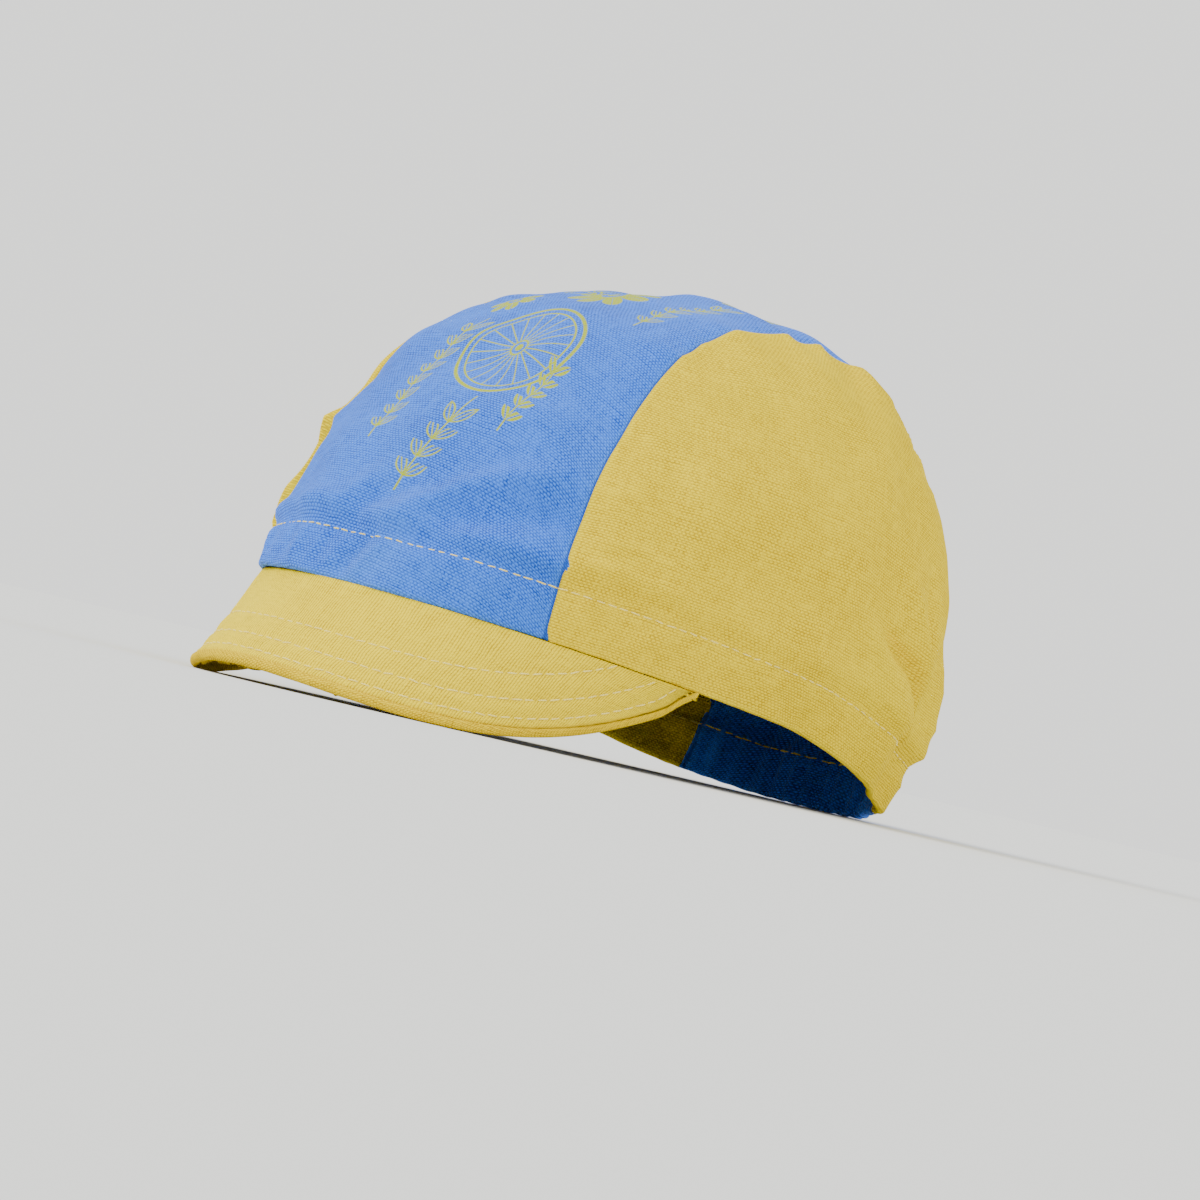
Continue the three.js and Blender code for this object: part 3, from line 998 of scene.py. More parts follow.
@dataclass(frozen=True)
class Print:
    """The centre panel's ink: wheels, rosettes and sprigs, in thin lines and solid parts."""

    soft: float = 0.16
    rim: float = 0.55
    inner_rim: float = 0.3
    rims_apart: float = 2.4
    hub: float = 2.6
    axle: float = 1.3
    spoke: float = 0.22
    stem: float = 0.3
    vein: float = 0.2
    leaf_lean: float = 40.0
    wheels: tuple[Wheel, ...] = (
        Wheel(12.0, -84.0, 18.0, 20),
        Wheel(-20.0, -30.0, 13.0, 16),
        Wheel(14.0, 40.0, 16.0, 18),
    )
    rosettes: tuple[Rosette, ...] = (
        Rosette(8.0, -46.0, 13.5, 8),
        Rosette(-14.0, -62.0, 8.5, 7),
        Rosette(26.0, -14.0, 9.5, 7),
        Rosette(-8.0, 14.0, 11.0, 8),
    )
    sprigs: tuple[Sprig, ...] = (
        Sprig(10.0, -137.0, 2.0, 33.0, 0.004, 8.5, False),
        Sprig(-10.0, -124.0, -10.0, 50.0, 0.003, 7.5, False),
        Sprig(29.0, -112.0, 10.0, 26.0, -0.006, 6.5, True),
        Sprig(33.0, -62.0, -8.0, 34.0, 0.004, 7.0, False),
        Sprig(4.0, -20.0, -14.0, 40.0, -0.005, 8.0, True),
    )

    def stroke(self, distance: Value, width: float) -> Value:
        """1 on a line of this half width round where the distance is 0, else 0."""
        return distance.size().between(width + self.soft, width - self.soft)

    def inside(self, depth: Value) -> Value:
        """1 where the depth is above 0, else 0."""
        return depth.between(-self.soft, self.soft)

    def coverage(self, paint: Paint, across: Value, along: Value) -> Value:
        """Where the ink lies.

        Args:
            paint: the material.
            across: mm from the panel's middle line.
            along: mm from the panel's top, to the back.

        Returns:
            1 under ink, 0 elsewhere.
        """
        total = across * 0.0
        for wheel in self.wheels:
            total = total.most(self._wheel(paint, wheel, across, along))
        for rosette in self.rosettes:
            total = total.most(self._rosette(paint, rosette, across, along))
        for sprig in self.sprigs:
            total = total.most(self._sprig(sprig, across, along))
        return total

    def _polar(self, paint: Paint, item: Any, across: Value, along: Value) -> tuple[Value, Value]:
        """Distance from an item's middle, and the angle round it."""
        x, y = across - item.across, along - item.along
        return (x * x + y * y).root(), paint.maths("ARCTAN2", y, x)

    def _wheel(self, paint: Paint, wheel: Wheel, across: Value, along: Value) -> Value:
        """Two rims, a hub and thin spokes, each a line of the angle's nearest spoke."""
        radius, angle = self._polar(paint, wheel, across, along)
        inner = wheel.radius - self.rims_apart
        rim = self.stroke(radius - wheel.radius, self.rim)
        rim = rim.most(self.stroke(radius - inner, self.inner_rim))
        rim = rim.most(self.stroke(radius - self.hub, 0.35)).most(self.inside(self.axle - radius))
        turn = angle * (wheel.spokes / (2 * math.pi))
        off = (turn - turn.nearest_whole()) * (2 * math.pi / wheel.spokes)
        spokes = self.stroke(off * radius, self.spoke) * self.inside(inner - radius)
        return rim.most(spokes * self.inside(radius - self.hub))

    def _rosette(self, paint: Paint, rosette: Rosette, across: Value, along: Value) -> Value:
        """Solid petals, whose radius follows the root of a cosine's size, round an open middle.

        A vein runs up each petal from two fifths of the flower's radius.
        """
        radius, angle = self._polar(paint, rosette, across, along)
        half_turns, full = angle * (rosette.petals / 2), rosette.radius
        edge = (half_turns.cosine().size() ** 0.5) * (full * 0.62) + full * 0.3
        petals = self.inside(edge - radius) * self.inside(radius - full * 0.24)
        vein = self.stroke(half_turns.sine() * radius, self.stem)
        petals = petals * (1 - vein * self.inside(radius - full * 0.4))
        return petals.most(self.inside(full * 0.13 - radius))

    def _sprig(self, sprig: Sprig, across: Value, along: Value) -> Value:
        """A bent stem, with a pair of pointed leaves in each equal step along it.

        A leaf's edge is a parabola over its own length, turned off the stem by its lean.
        """
        turn = math.radians(sprig.heading)
        x, y = across - sprig.across, along - sprig.along
        run = y * math.cos(turn) + x * math.sin(turn)
        off = x * math.cos(turn) - y * math.sin(turn) - run * run * sprig.bend
        on_stem = self.inside(run) * self.inside(sprig.length - run)
        stem = self.stroke(off, self.stem) * on_stem
        step = sprig.leaf * 0.72
        cell = (run / step).nearest_whole().most(1.0).least(round(sprig.length / step) - 1.0)
        lean = math.radians(self.leaf_lean)
        local, side = run - cell * step + 0.2 * sprig.leaf, off.size()
        reach = local * math.cos(lean) + side * math.sin(lean)
        width = side * math.cos(lean) - local * math.sin(lean)
        share = reach * (2 / sprig.leaf) - 1
        depth = (1 - share * share) * (0.2 * sprig.leaf) - width.size()
        vein = self.stroke(width, self.vein)
        if sprig.solid:
            return stem.most(self.inside(depth) * (1 - vein))
        outline = self.stroke(depth - self.stem, 0.28)
        return stem.most(outline.most(vein * self.inside(depth)))


@dataclass(frozen=True)
class Canvas:
    """A plain-woven cotton canvas: colours are linear, sizes in mm.

    The threads make rows of beads, laid like bricks: a row swells by the cosine of the place
    within it, and its beads by the cosine along it, which starts half a bead later in every
    other row. In turned cloth the rows run lengthwise.
    """

    name: str
    base: Colour
    # The colour of the weave's hollows and the seams' folds: painted shade, mixed with the cloth's
    # real uneven tone.
    deep: Colour
    pale: Colour
    bead: float = 1.22
    row: float = 0.7
    beading: float = 0.42
    turned: bool = False
    slant: float = 0.0
    # How much paler the folded edges and the seams are: real wear, and along the seams also a
    # painted highlight.
    edge_rub_and_highlight: float = 0.3
    # How far the cloth beside the seams darkens to the deep colour: painted shade in the seam's
    # fold, and the dirt a seam holds.
    seam_shade: float = 0.2
    blotch: float = 0.3
    bump: float = 0.16
    sheen: float = 0.12
    ink: Colour | None = None
    sway: float = 1.6
    drift: Scales = (0.09, 0.09, 2.0)
    slub: Scales = (0.16, 1.5, 2.0)
    slub_along: Scales = (1.6, 0.14, 2.0)
    fibre: Scales = (4.2, 4.2, 3.0)
    blotches: Scales = (0.035, 0.035, 3.0)

    def material(self, design: Print | None = None) -> bpy.types.Material:
        """The finish as a material, with the print where there is one."""
        paint = Paint(self.name)
        across, along, outer = paint.layer("cloth")
        from_hem, from_seam, _ = paint.layer("edges")

        def grain(x: Value, y: Value, scales: Scales, shift: float = 0.0) -> Value:
            """Noise round 0 at these scales across, along and in detail."""
            return paint.noise(x * scales[0], y * scales[1], outer + shift, scales[2]) - 0.5

        wander, drift = (grain(across, along, self.drift, shift) for shift in (0.0, 7.0))
        x, y = across + wander * self.sway, along + drift * self.sway
        slub_across, slub_along = grain(x, y, self.slub), grain(x, y, self.slub_along, 3.0)
        run, step = (y, x) if self.turned else (x + y * self.slant, y - x * self.slant)
        step = step * (1 / self.row) + slub_across * 0.35
        number = step.nearest_whole()
        swell = ((step - number) * math.pi).cosine()
        beads = (run * (2 * math.pi / self.bead) + number * math.pi + slub_along * 1.2).cosine()
        weave = swell * (beads * self.beading + (1 - self.beading)) * 2 - 1
        fibre = grain(x, y, self.fibre)
        height = weave * 0.5 + slub_across * 0.7 + slub_along * 0.7 + fibre * 0.55 + 0.5
        # Paler on rubbed edges and in patches: real wear, and along the seams also a painted
        # highlight.
        wear_and_highlight = self._rub_and_highlight(paint, across, along, from_hem, from_seam)
        tone = height + grain(across, along, self.blotches, 11.0) * self.blotch
        # Towards the deep colour where the weave is low: painted shade in its hollows, with real
        # uneven tone from the slubs, fibres and blotches.
        colour = paint.mix(tone.between(-0.25, 0.7), self.deep, self.base)
        colour = paint.mix(wear_and_highlight, colour, self.pale)
        # Darker along the seams: painted shade in the seam's fold, with the dirt a seam holds.
        colour = paint.mix(from_seam.between(0.95, 0.2) * self.seam_shade, colour, self.deep)
        if design is not None and self.ink is not None:
            cover = design.coverage(paint, across, along)
            held = (height + fibre * 0.5).between(-0.15, 0.3)
            inked = cover * (held * 0.35 + 0.65) * outer.between(0.6, 0.95)
            colour = paint.mix(inked, colour, self.ink)
        rough = 0.86 - wear_and_highlight * 0.06 + fibre * 0.1
        return paint.cover(colour, rough, paint.bump(1.0, self.bump, height), self.sheen)

    def _rub_and_highlight(
        self, paint: Paint, across: Value, along: Value, from_hem: Value, from_seam: Value
    ) -> Value:
        """How rubbed the cloth is, on folded edges, seams and soft patches; at seams also painted
        highlight.
        """
        edges = from_hem.between(1.8, 0.2) * self.edge_rub_and_highlight
        seams = from_seam.between(1.9, 0.4) * self.edge_rub_and_highlight
        rubbed = paint.noise(across * 0.28, along * 0.28, 5.0, detail=4.0)
        patches = paint.noise(across * 0.018, along * 0.018, 21.0, detail=2.0).between(0.5, 0.8)
        return (edges.most(seams) * (rubbed + 0.3) + patches * 0.22).least(1.0)


@dataclass(frozen=True)
class Thread:
    """Sewing thread: its colour and the twist of its two plies."""

    name: str = "sewing_thread"
    colour: Colour = (1.0, 0.87, 0.25)
    # The darker colour in the grooves between the plies is painted shade; it also gives the
    # thread's random tint.
    shade: Colour = (0.85, 0.66, 0.12)

    def material(self) -> bpy.types.Material:
        """The finish as a material: slanted stripes along each stitch, painted shade in the ply
        grooves, and a tint.
        """
        paint = Paint(self.name)
        run, turn, number = paint.layer("thread")
        twist = ((run * 5.2 + turn) * 2.0).cosine()
        tint = paint.noise(number * 3.7, run * 0.7, 2.0)
        # Towards the shade colour in the twist's grooves, as painted shade, and by a random tint.
        colour = paint.mix((twist * 0.3 + tint).between(0.1, 0.9), self.shade, self.colour)
        return paint.cover(colour, 0.62, paint.bump(0.7, 0.08, twist), 0.1)


BLUE = Canvas(
    name="blue_canvas_cotton",
    base=(0.05, 0.235, 0.94),
    deep=(0.004, 0.045, 0.37),
    pale=(0.17, 0.45, 0.95),
    edge_rub_and_highlight=0.12,
    seam_shade=0.75,
    blotch=0.55,
    bump=0.23,
    sheen=0.14,
    ink=(0.4, 0.46, 0.0),
)
YELLOW = Canvas(
    name="yellow_canvas_cotton",
    base=(0.9, 0.675, 0.0),
    deep=(0.46, 0.29, 0.0),
    pale=(0.94, 0.76, 0.0),
    bump=0.21,
    sheen=0.0,
)
PEAK_YELLOW = Canvas(
    name="yellow_canvas_peak",
    base=(0.91, 0.69, 0.0),
    deep=(0.46, 0.29, 0.0),
    pale=(0.95, 0.79, 0.03),
    bead=1.0,
    row=0.84,
    beading=0.25,
    turned=True,
    edge_rub_and_highlight=0.0,
    bump=0.21,
    sheen=0.03,
)
# A darker, more golden copy of the peak's canvas, as painted shade on the underside and its rolled
# edge; its slanted weave is the cloth's own.
PEAK_LINING_SHADED = Canvas(
    name="yellow_canvas_roll",
    base=(0.88, 0.63, 0.0),
    deep=(0.4, 0.23, 0.0),
    pale=(0.93, 0.74, 0.02),
    bead=1.15,
    row=0.78,
    slant=0.6,
    edge_rub_and_highlight=0.0,
    bump=0.22,
    sheen=0.0,
)


@dataclass(frozen=True)
class StitchRow:
    """The size of a row of lock stitches, in mm."""

    pitch: float = 3.3
    length: float = 2.95
    radius: float = 0.22
    rise: float = 0.1
    sink: float = 0.26
    ring: int = 6
    stations: int = 7
    stray: float = 0.15
    tilt: float = 0.07
    shortest: float = 0.9
    longest: float = 1.06


class Stitches:
    """Rows of stitches, joined into one mesh."""

    def __init__(self, size: StitchRow) -> None:
        """Args: size: the size of every row."""
        self.size = size
        self.points: list[Array] = []
        self.faces: list[Array] = []
        self.layers: list[Array] = []
        self.random = np.random.default_rng(SEED)
        self.count = 0

    def add(self, points: Array, normals: Array) -> None:
        """Adds one row along a line on the cloth.

        Each stitch is a tube whose middle line rises over the cloth and dives in at its
        ends: sink below, by the sixth power of the share along it. Its radius closes on
        the ends as the root of 1 minus the sixth power.

        Args:
            points: the line's points in mm.
            normals: the cloth's outward directions there.
        """
        size, random = self.size, self.random
        run = lengths_along(points, 0)
        count = max(1, int(run[-1] / size.pitch))
        stray = random.uniform(-size.stray, size.stray, count)
        at = (np.arange(count) + 0.5) * run[-1] / count + stray
        centre, up, ahead = (
            at_lengths(values, run, at)
            for values in (points, unit(normals), unit(np.gradient(points, axis=0)))
        )
        up = unit(up)
        ahead = unit(ahead - (ahead * up).sum(-1, keepdims=True) * up)
        tilt = random.normal(0, size.tilt, count)[:, None]
        aside = np.cross(up, ahead)
        ahead, aside = ahead + aside * tilt, aside - ahead * tilt
        half = size.length / 2 * random.uniform(size.shortest, size.longest, count)
        share = np.sin(np.linspace(-math.pi / 2, math.pi / 2, size.stations))
        radius = size.radius * np.sqrt(1.02 - share**6)
        lift = size.rise - (size.rise + size.sink) * share**6
        angle = np.arange(size.ring) * 2 * math.pi / size.ring
        gone = (half[:, None] * share)[:, :, None, None]
        ahead, aside, up = (way[:, None, None, :] for way in (ahead, aside, up))
        sideways = np.cos(angle)[:, None] * radius[:, None, None]
        upwards = np.sin(angle)[:, None] * radius[:, None, None] + lift[:, None, None]
        made = centre[:, None, None, :] + ahead * gone + aside * sideways + up * upwards
        number = (self.count + np.arange(count, dtype=float))[:, None, None]
        layers = np.broadcast_arrays(gone[..., 0], angle, number)
        per = size.stations * size.ring
        start = self.count * per + (np.arange(count) * per)[:, None, None]
        self.points.append(made.reshape(-1, 3))
        self.layers.append(np.stack(layers, axis=-1).reshape(-1, 3))
        self.faces.append((self._faces()[None] + start).reshape(-1, 4))
        self.count += count

    def _faces(self) -> Array:
        """The four-sided faces of one stitch, with two to close each six-sided end."""
        ring, stations = self.size.ring, self.size.stations
        index = np.arange(stations * ring).reshape(stations, ring)
        after = np.roll(index, -1, axis=1)
        sides = np.stack([index[:-1], index[1:], after[1:], after[:-1]], axis=-1).reshape(-1, 4)
        first, last = index[0], index[-1]
        ends = [first[[0, 1, 2, 3]], first[[0, 3, 4, 5]], last[[3, 2, 1, 0]], last[[5, 4, 3, 0]]]
        return np.concatenate([sides, np.array(ends)])

    def make(self, name: str, material: bpy.types.Material, standing: Standing) -> bpy.types.Object:
        """The rows as one piece."""
        points = standing.place(np.concatenate(self.points))
        faces, layers = np.concatenate(self.faces), np.concatenate(self.layers)
        return make_object(name, points, faces, material, thread=layers)


@dataclass
class Crown:
    """The three panels over the turned hem."""

    shape: CrownShape
    standing: Standing
    columns: int = 96
    rows: int = 250
    side_columns: int = 190
    side_rows: int = 92
    allowance: float = 0.022
    corner: float = 0.007
    hem_samples: int = 1441

    def __post_init__(self) -> None:
        """Works out the lines that the relief is measured from."""
        seams = {side: self.shape.seam(side) for side in Side}
        self.relief = CrownRelief(self.shape, self.shape.hem(), seams)

    def centre_patch(self) -> Patch:
        """The centre panel's grid: columns across it, rows from front to back."""
        edge = np.array(EDGE_STEPS) / self.shape.seam_half_width
        end = 1 + self.allowance
        inner = np.linspace(-end + edge[-1], end - edge[-1], self.columns - 2 * len(edge) + 2)
        shares = np.concatenate([-end + edge[:-1], inner, end - edge[:-1][::-1]])
        points, turn, place = resample([*self.shape.lengthwise(shares)], self.rows)
        across = lengths_along(points, 0)
        middle = np.argmin(np.abs(shares))
        across = across - across[middle][None]
        along = lengths_along(points, 1)
        along = along - 0.5 * along[:, -1:]
        return Patch(points, turn, place, np.stack([across, along], axis=-1))

    def side_patch(self) -> Patch:
        """The left panel's grid: columns from front to back, rows from the hem to the seam.

        Each column is straight in turn and place, from an even step on the hem to an even
        step on the seam.
        """
        _, seam_turn, seam_place = resample(
            [*self.shape.lengthwise(np.array([1.0]))], 1200, even=True
        )
        share = np.linspace(self.corner, 1 - self.corner, self.side_columns)
        spots = np.linspace(0, 1, 1200)
        top_turn = np.interp(share, spots, seam_turn[0])
        top_place = np.interp(share, spots, seam_place[0])
        hem_turn = np.linspace(seam_turn[0, 0], seam_turn[0, -1], 400)
        hem_run = lengths_along(self.shape.point(hem_turn, np.zeros(400)), 0)
        low_turn = np.interp(share * hem_run[-1], hem_run, hem_turn)
        part = np.linspace(0, 1, 200)
        turn = low_turn[:, None] * (1 - part) + top_turn[:, None] * part
        place = top_place[:, None] * part
        points, turn, place = resample([self.shape.point(turn, place), turn, place], self.side_rows)
        return Patch(points, turn, place, self._side_cloth(turn, place))

    def _side_cloth(self, turn: Array, place: Array) -> Array:
        """Cloth places on a side panel: mm round from its middle, and mm up from the hem."""
        turns = np.radians(np.arange(20, 171, 1.0))
        places = np.linspace(0, self.shape.top, 181)
        grid = self.shape.point(*np.meshgrid(turns, places, indexing="ij"))
        tables = [lengths_along(grid, 0), lengths_along(grid, 1)]
        tables[0] = tables[0] - tables[0][75][None]
        u = np.clip((turn - turns[0]) / (turns[1] - turns[0]), 0, len(turns) - 1.001)
        v = np.clip(place / (places[1] - places[0]), 0, len(places) - 1.001)
        i, j = u.astype(int), v.astype(int)
        p, q = u - i, v - j
        made = [
            (t[i, j] * (1 - p) + t[i + 1, j] * p) * (1 - q)
            + (t[i, j + 1] * (1 - p) + t[i + 1, j + 1] * p) * q
            for t in tables
        ]
        return np.stack(made, axis=-1)

    def panel(
        self, name: str, panel: Panel, patch: Patch, finish: bpy.types.Material
    ) -> bpy.types.Object:
        """One panel of the crown.

        Args:
            name: the piece's name.
            panel: which panel it is.
            patch: its grid on the smooth form.
            finish: its material.

        Returns:
            The piece.
        """
        points, relief = patch.points, self.relief
        height = self.shape.section("height", patch.place)
        push = relief.push(points, patch.turn, height, panel)
        from_hem, _ = relief.from_hem(points, patch.turn)
        from_seam = np.minimum(*(relief.seams[side].near(points)[0] for side in Side))
        edges = (from_hem, from_seam, np.zeros_like(from_hem))
        thickness = relief.thickness(from_hem)
        return cloth_piece(
            name, finish, self.standing, points, push, thickness, patch.cloth, edges
        )

    def hem_row(self) -> tuple[Array, Array, Array, Array]:
        """The hem's row of stitches: points and directions outside, and the same inside."""
        turn = np.radians(np.linspace(-180, 180, self.hem_samples))
        places = np.linspace(0, 2.5, 60)
        run = lengths_along(self.shape.point(*np.meshgrid(turn, places, indexing="ij")), 1)
        want = self.relief.to_stitches(turn)
        place = np.array([np.interp(want[k], run[k], places) for k in range(len(turn))])
        step = 0.02
        round_way = self.shape.point(turn + step, place) - self.shape.point(turn - step, place)
        up_way = self.shape.point(turn, place + step) - self.shape.point(turn, place - step)
        normal = unit(np.cross(round_way, up_way))
        points = self.shape.point(turn, place)
        height = self.shape.section("height", place)
        samples = 120
        _, seam_turn, seam_place = (part[0] for part in self.shape.lengthwise(np.ones(1), samples))
        first, last = (
            np.interp(np.median(place), seam_place[::way][:samples], seam_turn[::way][:samples])
            for way in (1, -1)
        )
        on_side = (np.abs(turn) > first) & (np.abs(turn) < last)
        push = np.zeros(len(turn))
        for panel in Panel:
            mask = on_side & (np.sign(turn) == panel.value) if panel.value else ~on_side
            push[mask] = self.relief.push(points, turn, height, panel)[mask]
        outside = points + normal * push[:, None]
        inside = outside - normal * self.relief.thickness(np.zeros(1))
        return outside, normal, inside, -normal


@dataclass(frozen=True)
class PeakShape:
    """The peak's upper face: strips that droop from the hem, in mm and degrees."""

    crown: CrownShape
    depth: float = 36.0
    corner_depth: float = 3.0
    half_turn: float = 76.0
    droop: float = 66.0
    side_droop: float = 32.0
    fan: float = 0.8
    edge_power: float = 2.9
    lift: float = 5.4
    side_curl: float = 6.2
    inset: float = 0.65
    gap: float = 0.05
    flare: float = 4.2
    blunt: float = 0.6

    def reach(self, share: Array) -> Array:
        """The depth from the hem to the edge.

        It falls off to the corners by a power, and faster just before them.
        """
        full = self.depth - self.corner_depth
        reach = self.corner_depth + full * (1 - np.abs(share) ** self.edge_power)
        return reach * (1 - self.blunt * smoothstep(np.abs(share), 0.93, 1.02))

    def face(self, share: Array, part: Array) -> Array:
        """Points of the upper face.

        A strip starts at the hem, droops by an angle that grows to the sides, and curls by
        the square of its distance: down in front and up at the sides. Near its edge the
        wearer's right side flares outwards, by the fourth power of the part.

        Args:
            share: from -1 to 1 across the cap.
            part: from 0 at the hem to 1 at the edge.

        Returns:
            An array of points.
        """
        turn = np.radians(share * self.half_turn)
        heading = self.fan * turn
        sideness = np.sin(turn) ** 2
        droop = np.radians(self.droop + self.side_droop * sideness)
        distance = part * self.reach(share)
        curl = (self.side_curl * sideness - self.lift) * (distance / self.depth) ** 2
        start = self.crown.point(turn, np.zeros_like(turn))
        flare = self.flare * smoothstep(-share, 0.2, 0.6) * np.maximum(part, 0) ** 4
        outwards = self.inset - distance * np.cos(droop) - flare
        x = start[..., 0] - np.sin(heading) * outwards
        y = start[..., 1] + np.cos(heading) * outwards
        z = start[..., 2] - self.gap - distance * np.sin(droop) - curl
        return np.stack([x, y, z], axis=-1)

    def frame(self, share: Array, part: Array) -> tuple[Array, Array]:
        """The face's upward directions and its directions towards the edge."""
        step = 0.01
        across = self.face(share + step, part) - self.face(share - step, part)
        outwards = self.face(share, part + step) - self.face(share, part - step)
        return unit(np.cross(outwards, across)), unit(outwards)


# Where the peak's rows lie close before its edge, as shares of its depth.
PEAK_END = (0.972, 0.984, 0.993, 0.998, 1.0)


@dataclass
class Peak:
    """The peak's upper cloth, its underside with the rolled edge, and their stitches."""

    shape: PeakShape
    standing: Standing
    columns: int = 170
    rows: int = 44
    thickness: float = 1.3
    total: float = 2.9
    rows_from_edge: tuple[float, ...] = (4.7, 9.4, 16.0)
    groove: float = 0.32
    groove_width: float = 0.8
    pads: tuple[tuple[float, float, float], ...] = ((7.1, 1.5, 0.18), (12.6, 2.2, 0.2))
    pucker: float = 0.12
    pucker_pitch: float = 5.3
    pucker_ends: tuple[float, float] = (16.0, 20.0)
    roll: float = 1.7
    lap: float = 2.5
    tuck: float = 0.22
    tuck_in: float = 3.3
    lining_in: float = 2.1
    tuck_up: float = 6.5
    tuck_rows: int = 9
    tuck_level: float = 0.3
    thinning: float = 0.45
    lining: float = 0.95
    roll_from: float = 82.0
    roll_points: int = 17
    beyond: tuple[float, ...] = (0.35, 0.6, 0.8, 0.9)

    def __post_init__(self) -> None:
        """Works out the peak's edge line."""
        share = np.sin(np.linspace(-1, 1, 400) * math.pi / 2)
        self.edge = Line(self.shape.face(share, np.ones_like(share)))

    def push(self, share: Array, part: Array) -> Array:
        """How far the cloth stands out of the smooth face.

        A dip along each stitched row, pads between the rows, small slanted puckers between
        them, and slow waves.
        """
        points = self.shape.face(share, part)
        distance, along = self.edge.near(points)
        total = 0.12 * np.sin(along / 9.1 + distance / 6.0) + 0.16 * np.sin(along / 17.0 + 2.0)
        for row in self.rows_from_edge:
            total -= self.groove * hump(distance, row, self.groove_width)
        for place, width, push in self.pads:
            total += push * hump(distance, place, width)
        near = 1 - smoothstep(distance, *self.pucker_ends)
        slant = along + 0.6 * distance + 1.5 * np.sin(along / 11.0)
        total += self.pucker * near * np.sin(2 * math.pi * slant / self.pucker_pitch)
        return total * smoothstep(part, 0.0, 0.12)

    def thin(self, share: Array) -> Array:
        """What is left of the peak's thickness towards its corners, from 1 down."""
        return 1 - self.thinning * smoothstep(np.abs(share), 0.86, 1.0)

    def _strips(self, inset: float, rows: int, tuck_in: float) -> tuple[Array, Array, Array, Array]:
        """The peak's face from behind the hem to a distance short of the edge.

        Above the hem's edge the cloth first runs level under it and then up behind it.

        Args:
            inset: the distance left before the edge, in mm.
            rows: how many points each strip has.
            tuck_in: how far behind the hem's outer face it lies.

        Returns:
            The shares, the parts, which are negative in the tuck, the points of the face
            and how far the tuck moves them.
        """
        share = np.sin(np.linspace(-1, 1, self.columns) * math.pi / 2)
        tucked = np.linspace(-self.tuck, 0, self.tuck_rows + 1)[:-1]
        even = rows - self.tuck_rows - len(PEAK_END)
        run = np.concatenate([np.linspace(0, 0.955, even), PEAK_END])
        last = 1 - np.minimum(inset / self.shape.reach(share), 0.8)
        tucked = np.broadcast_to(tucked, (len(share), self.tuck_rows))
        part = np.concatenate([tucked, last[:, None] * run], axis=1)
        share = np.broadcast_to(share[:, None], part.shape)
        points = self.shape.face(share, np.maximum(part, 0.0))
        above = np.maximum(-part, 0.0) / self.tuck
        turn = np.radians(share * self.shape.half_turn)
        lean = np.stack([np.sin(turn), -np.cos(turn), np.zeros_like(turn)], axis=-1)
        inward = smoothstep(above, 0.0, 0.5) * tuck_in
        upward = np.maximum(above - self.tuck_level, 0.0) / (1 - self.tuck_level) * self.tuck_up
        moved = -lean * inward[..., None]
        moved[..., 2] += upward
        return share, part, points, moved

    def top(self, finish: bpy.types.Material) -> bpy.types.Object:
        """The upper cloth, a closed shell that dips under the roll at its edge."""
        share, part, face, moved = self._strips(self.lap - 0.3, self.rows, self.tuck_in)
        share, part, points = share[::-1], part[::-1], (face + moved)[::-1]
        along = lengths_along(points, 1)
        end = along[:, -1:] - along
        push = self.push(share, np.maximum(part, 0)) - 0.8 * (1 - smoothstep(end, 0.0, 1.2))
        return self._layer("peak_top", finish, points, push, self.thickness)

    def _layer(
        self, name: str, finish: bpy.types.Material, points: Array, push: Array, thickness: float
    ) -> bpy.types.Object:
        """One cloth layer from its visible face and its thickness; no seam is near it."""
        across, along = lengths_along(points, 0), lengths_along(points, 1)
        cloth = np.stack([across - across[self.columns // 2][None], along], axis=-1)
        distance, _ = self.edge.near(points)
        far = np.full_like(distance, 50.0)
        edges = (distance, far, far)
        return cloth_piece(name, finish, self.standing, points, push, thickness, cloth, edges)

    def underside(self, finish: bpy.types.Material) -> bpy.types.Object:
        """The lower cloth, rolled round the edge and lapped on the upper one.

        From the hem it runs along the lower face. Then it follows half an ellipse round the
        edge, from straight down to straight up, and dives under at the seam.
        """
        share, part, face, moved = self._strips(self.roll, self.rows, self.lining_in)
        normal, _ = self.shape.frame(share, np.maximum(part, 0))
        push = self.push(share, np.maximum(part, 0))
        depth = 0.5 * push - self.total * self.thin(share)
        lower = face + moved + normal * depth[..., None]
        angle = np.radians(np.linspace(self.roll_from, -90, self.roll_points))
        beyond = np.array(self.beyond)
        column = share[:, :1] + np.zeros((1, len(angle) + len(beyond)))
        ones = np.ones_like(column)
        normal_edge, out_edge = self.shape.frame(column, ones)
        edge_points = self.shape.face(column, ones)
        run = lengths_along(edge_points, 0)
        swell = 1 + 0.05 * np.sin(run / 2.3) + 0.04 * np.sin(run / 5.1 + 1.0)
        tall = (self.total + 0.25) / 2
        out = np.concatenate([self.roll * np.cos(angle), -beyond]) - self.roll
        dive = 0.7 * (beyond / beyond[-1]) ** 2
        rise = np.concatenate([tall * np.sin(angle), dive - tall])
        depth = (self.total - tall + rise * swell) * self.thin(column)
        rolled = edge_points + out_edge * out[:, None] - normal_edge * depth[..., None]
        made = np.concatenate([lower, rolled], axis=1)
        return self._layer("peak_underside", finish, made, np.zeros(made.shape[:2]), self.lining)

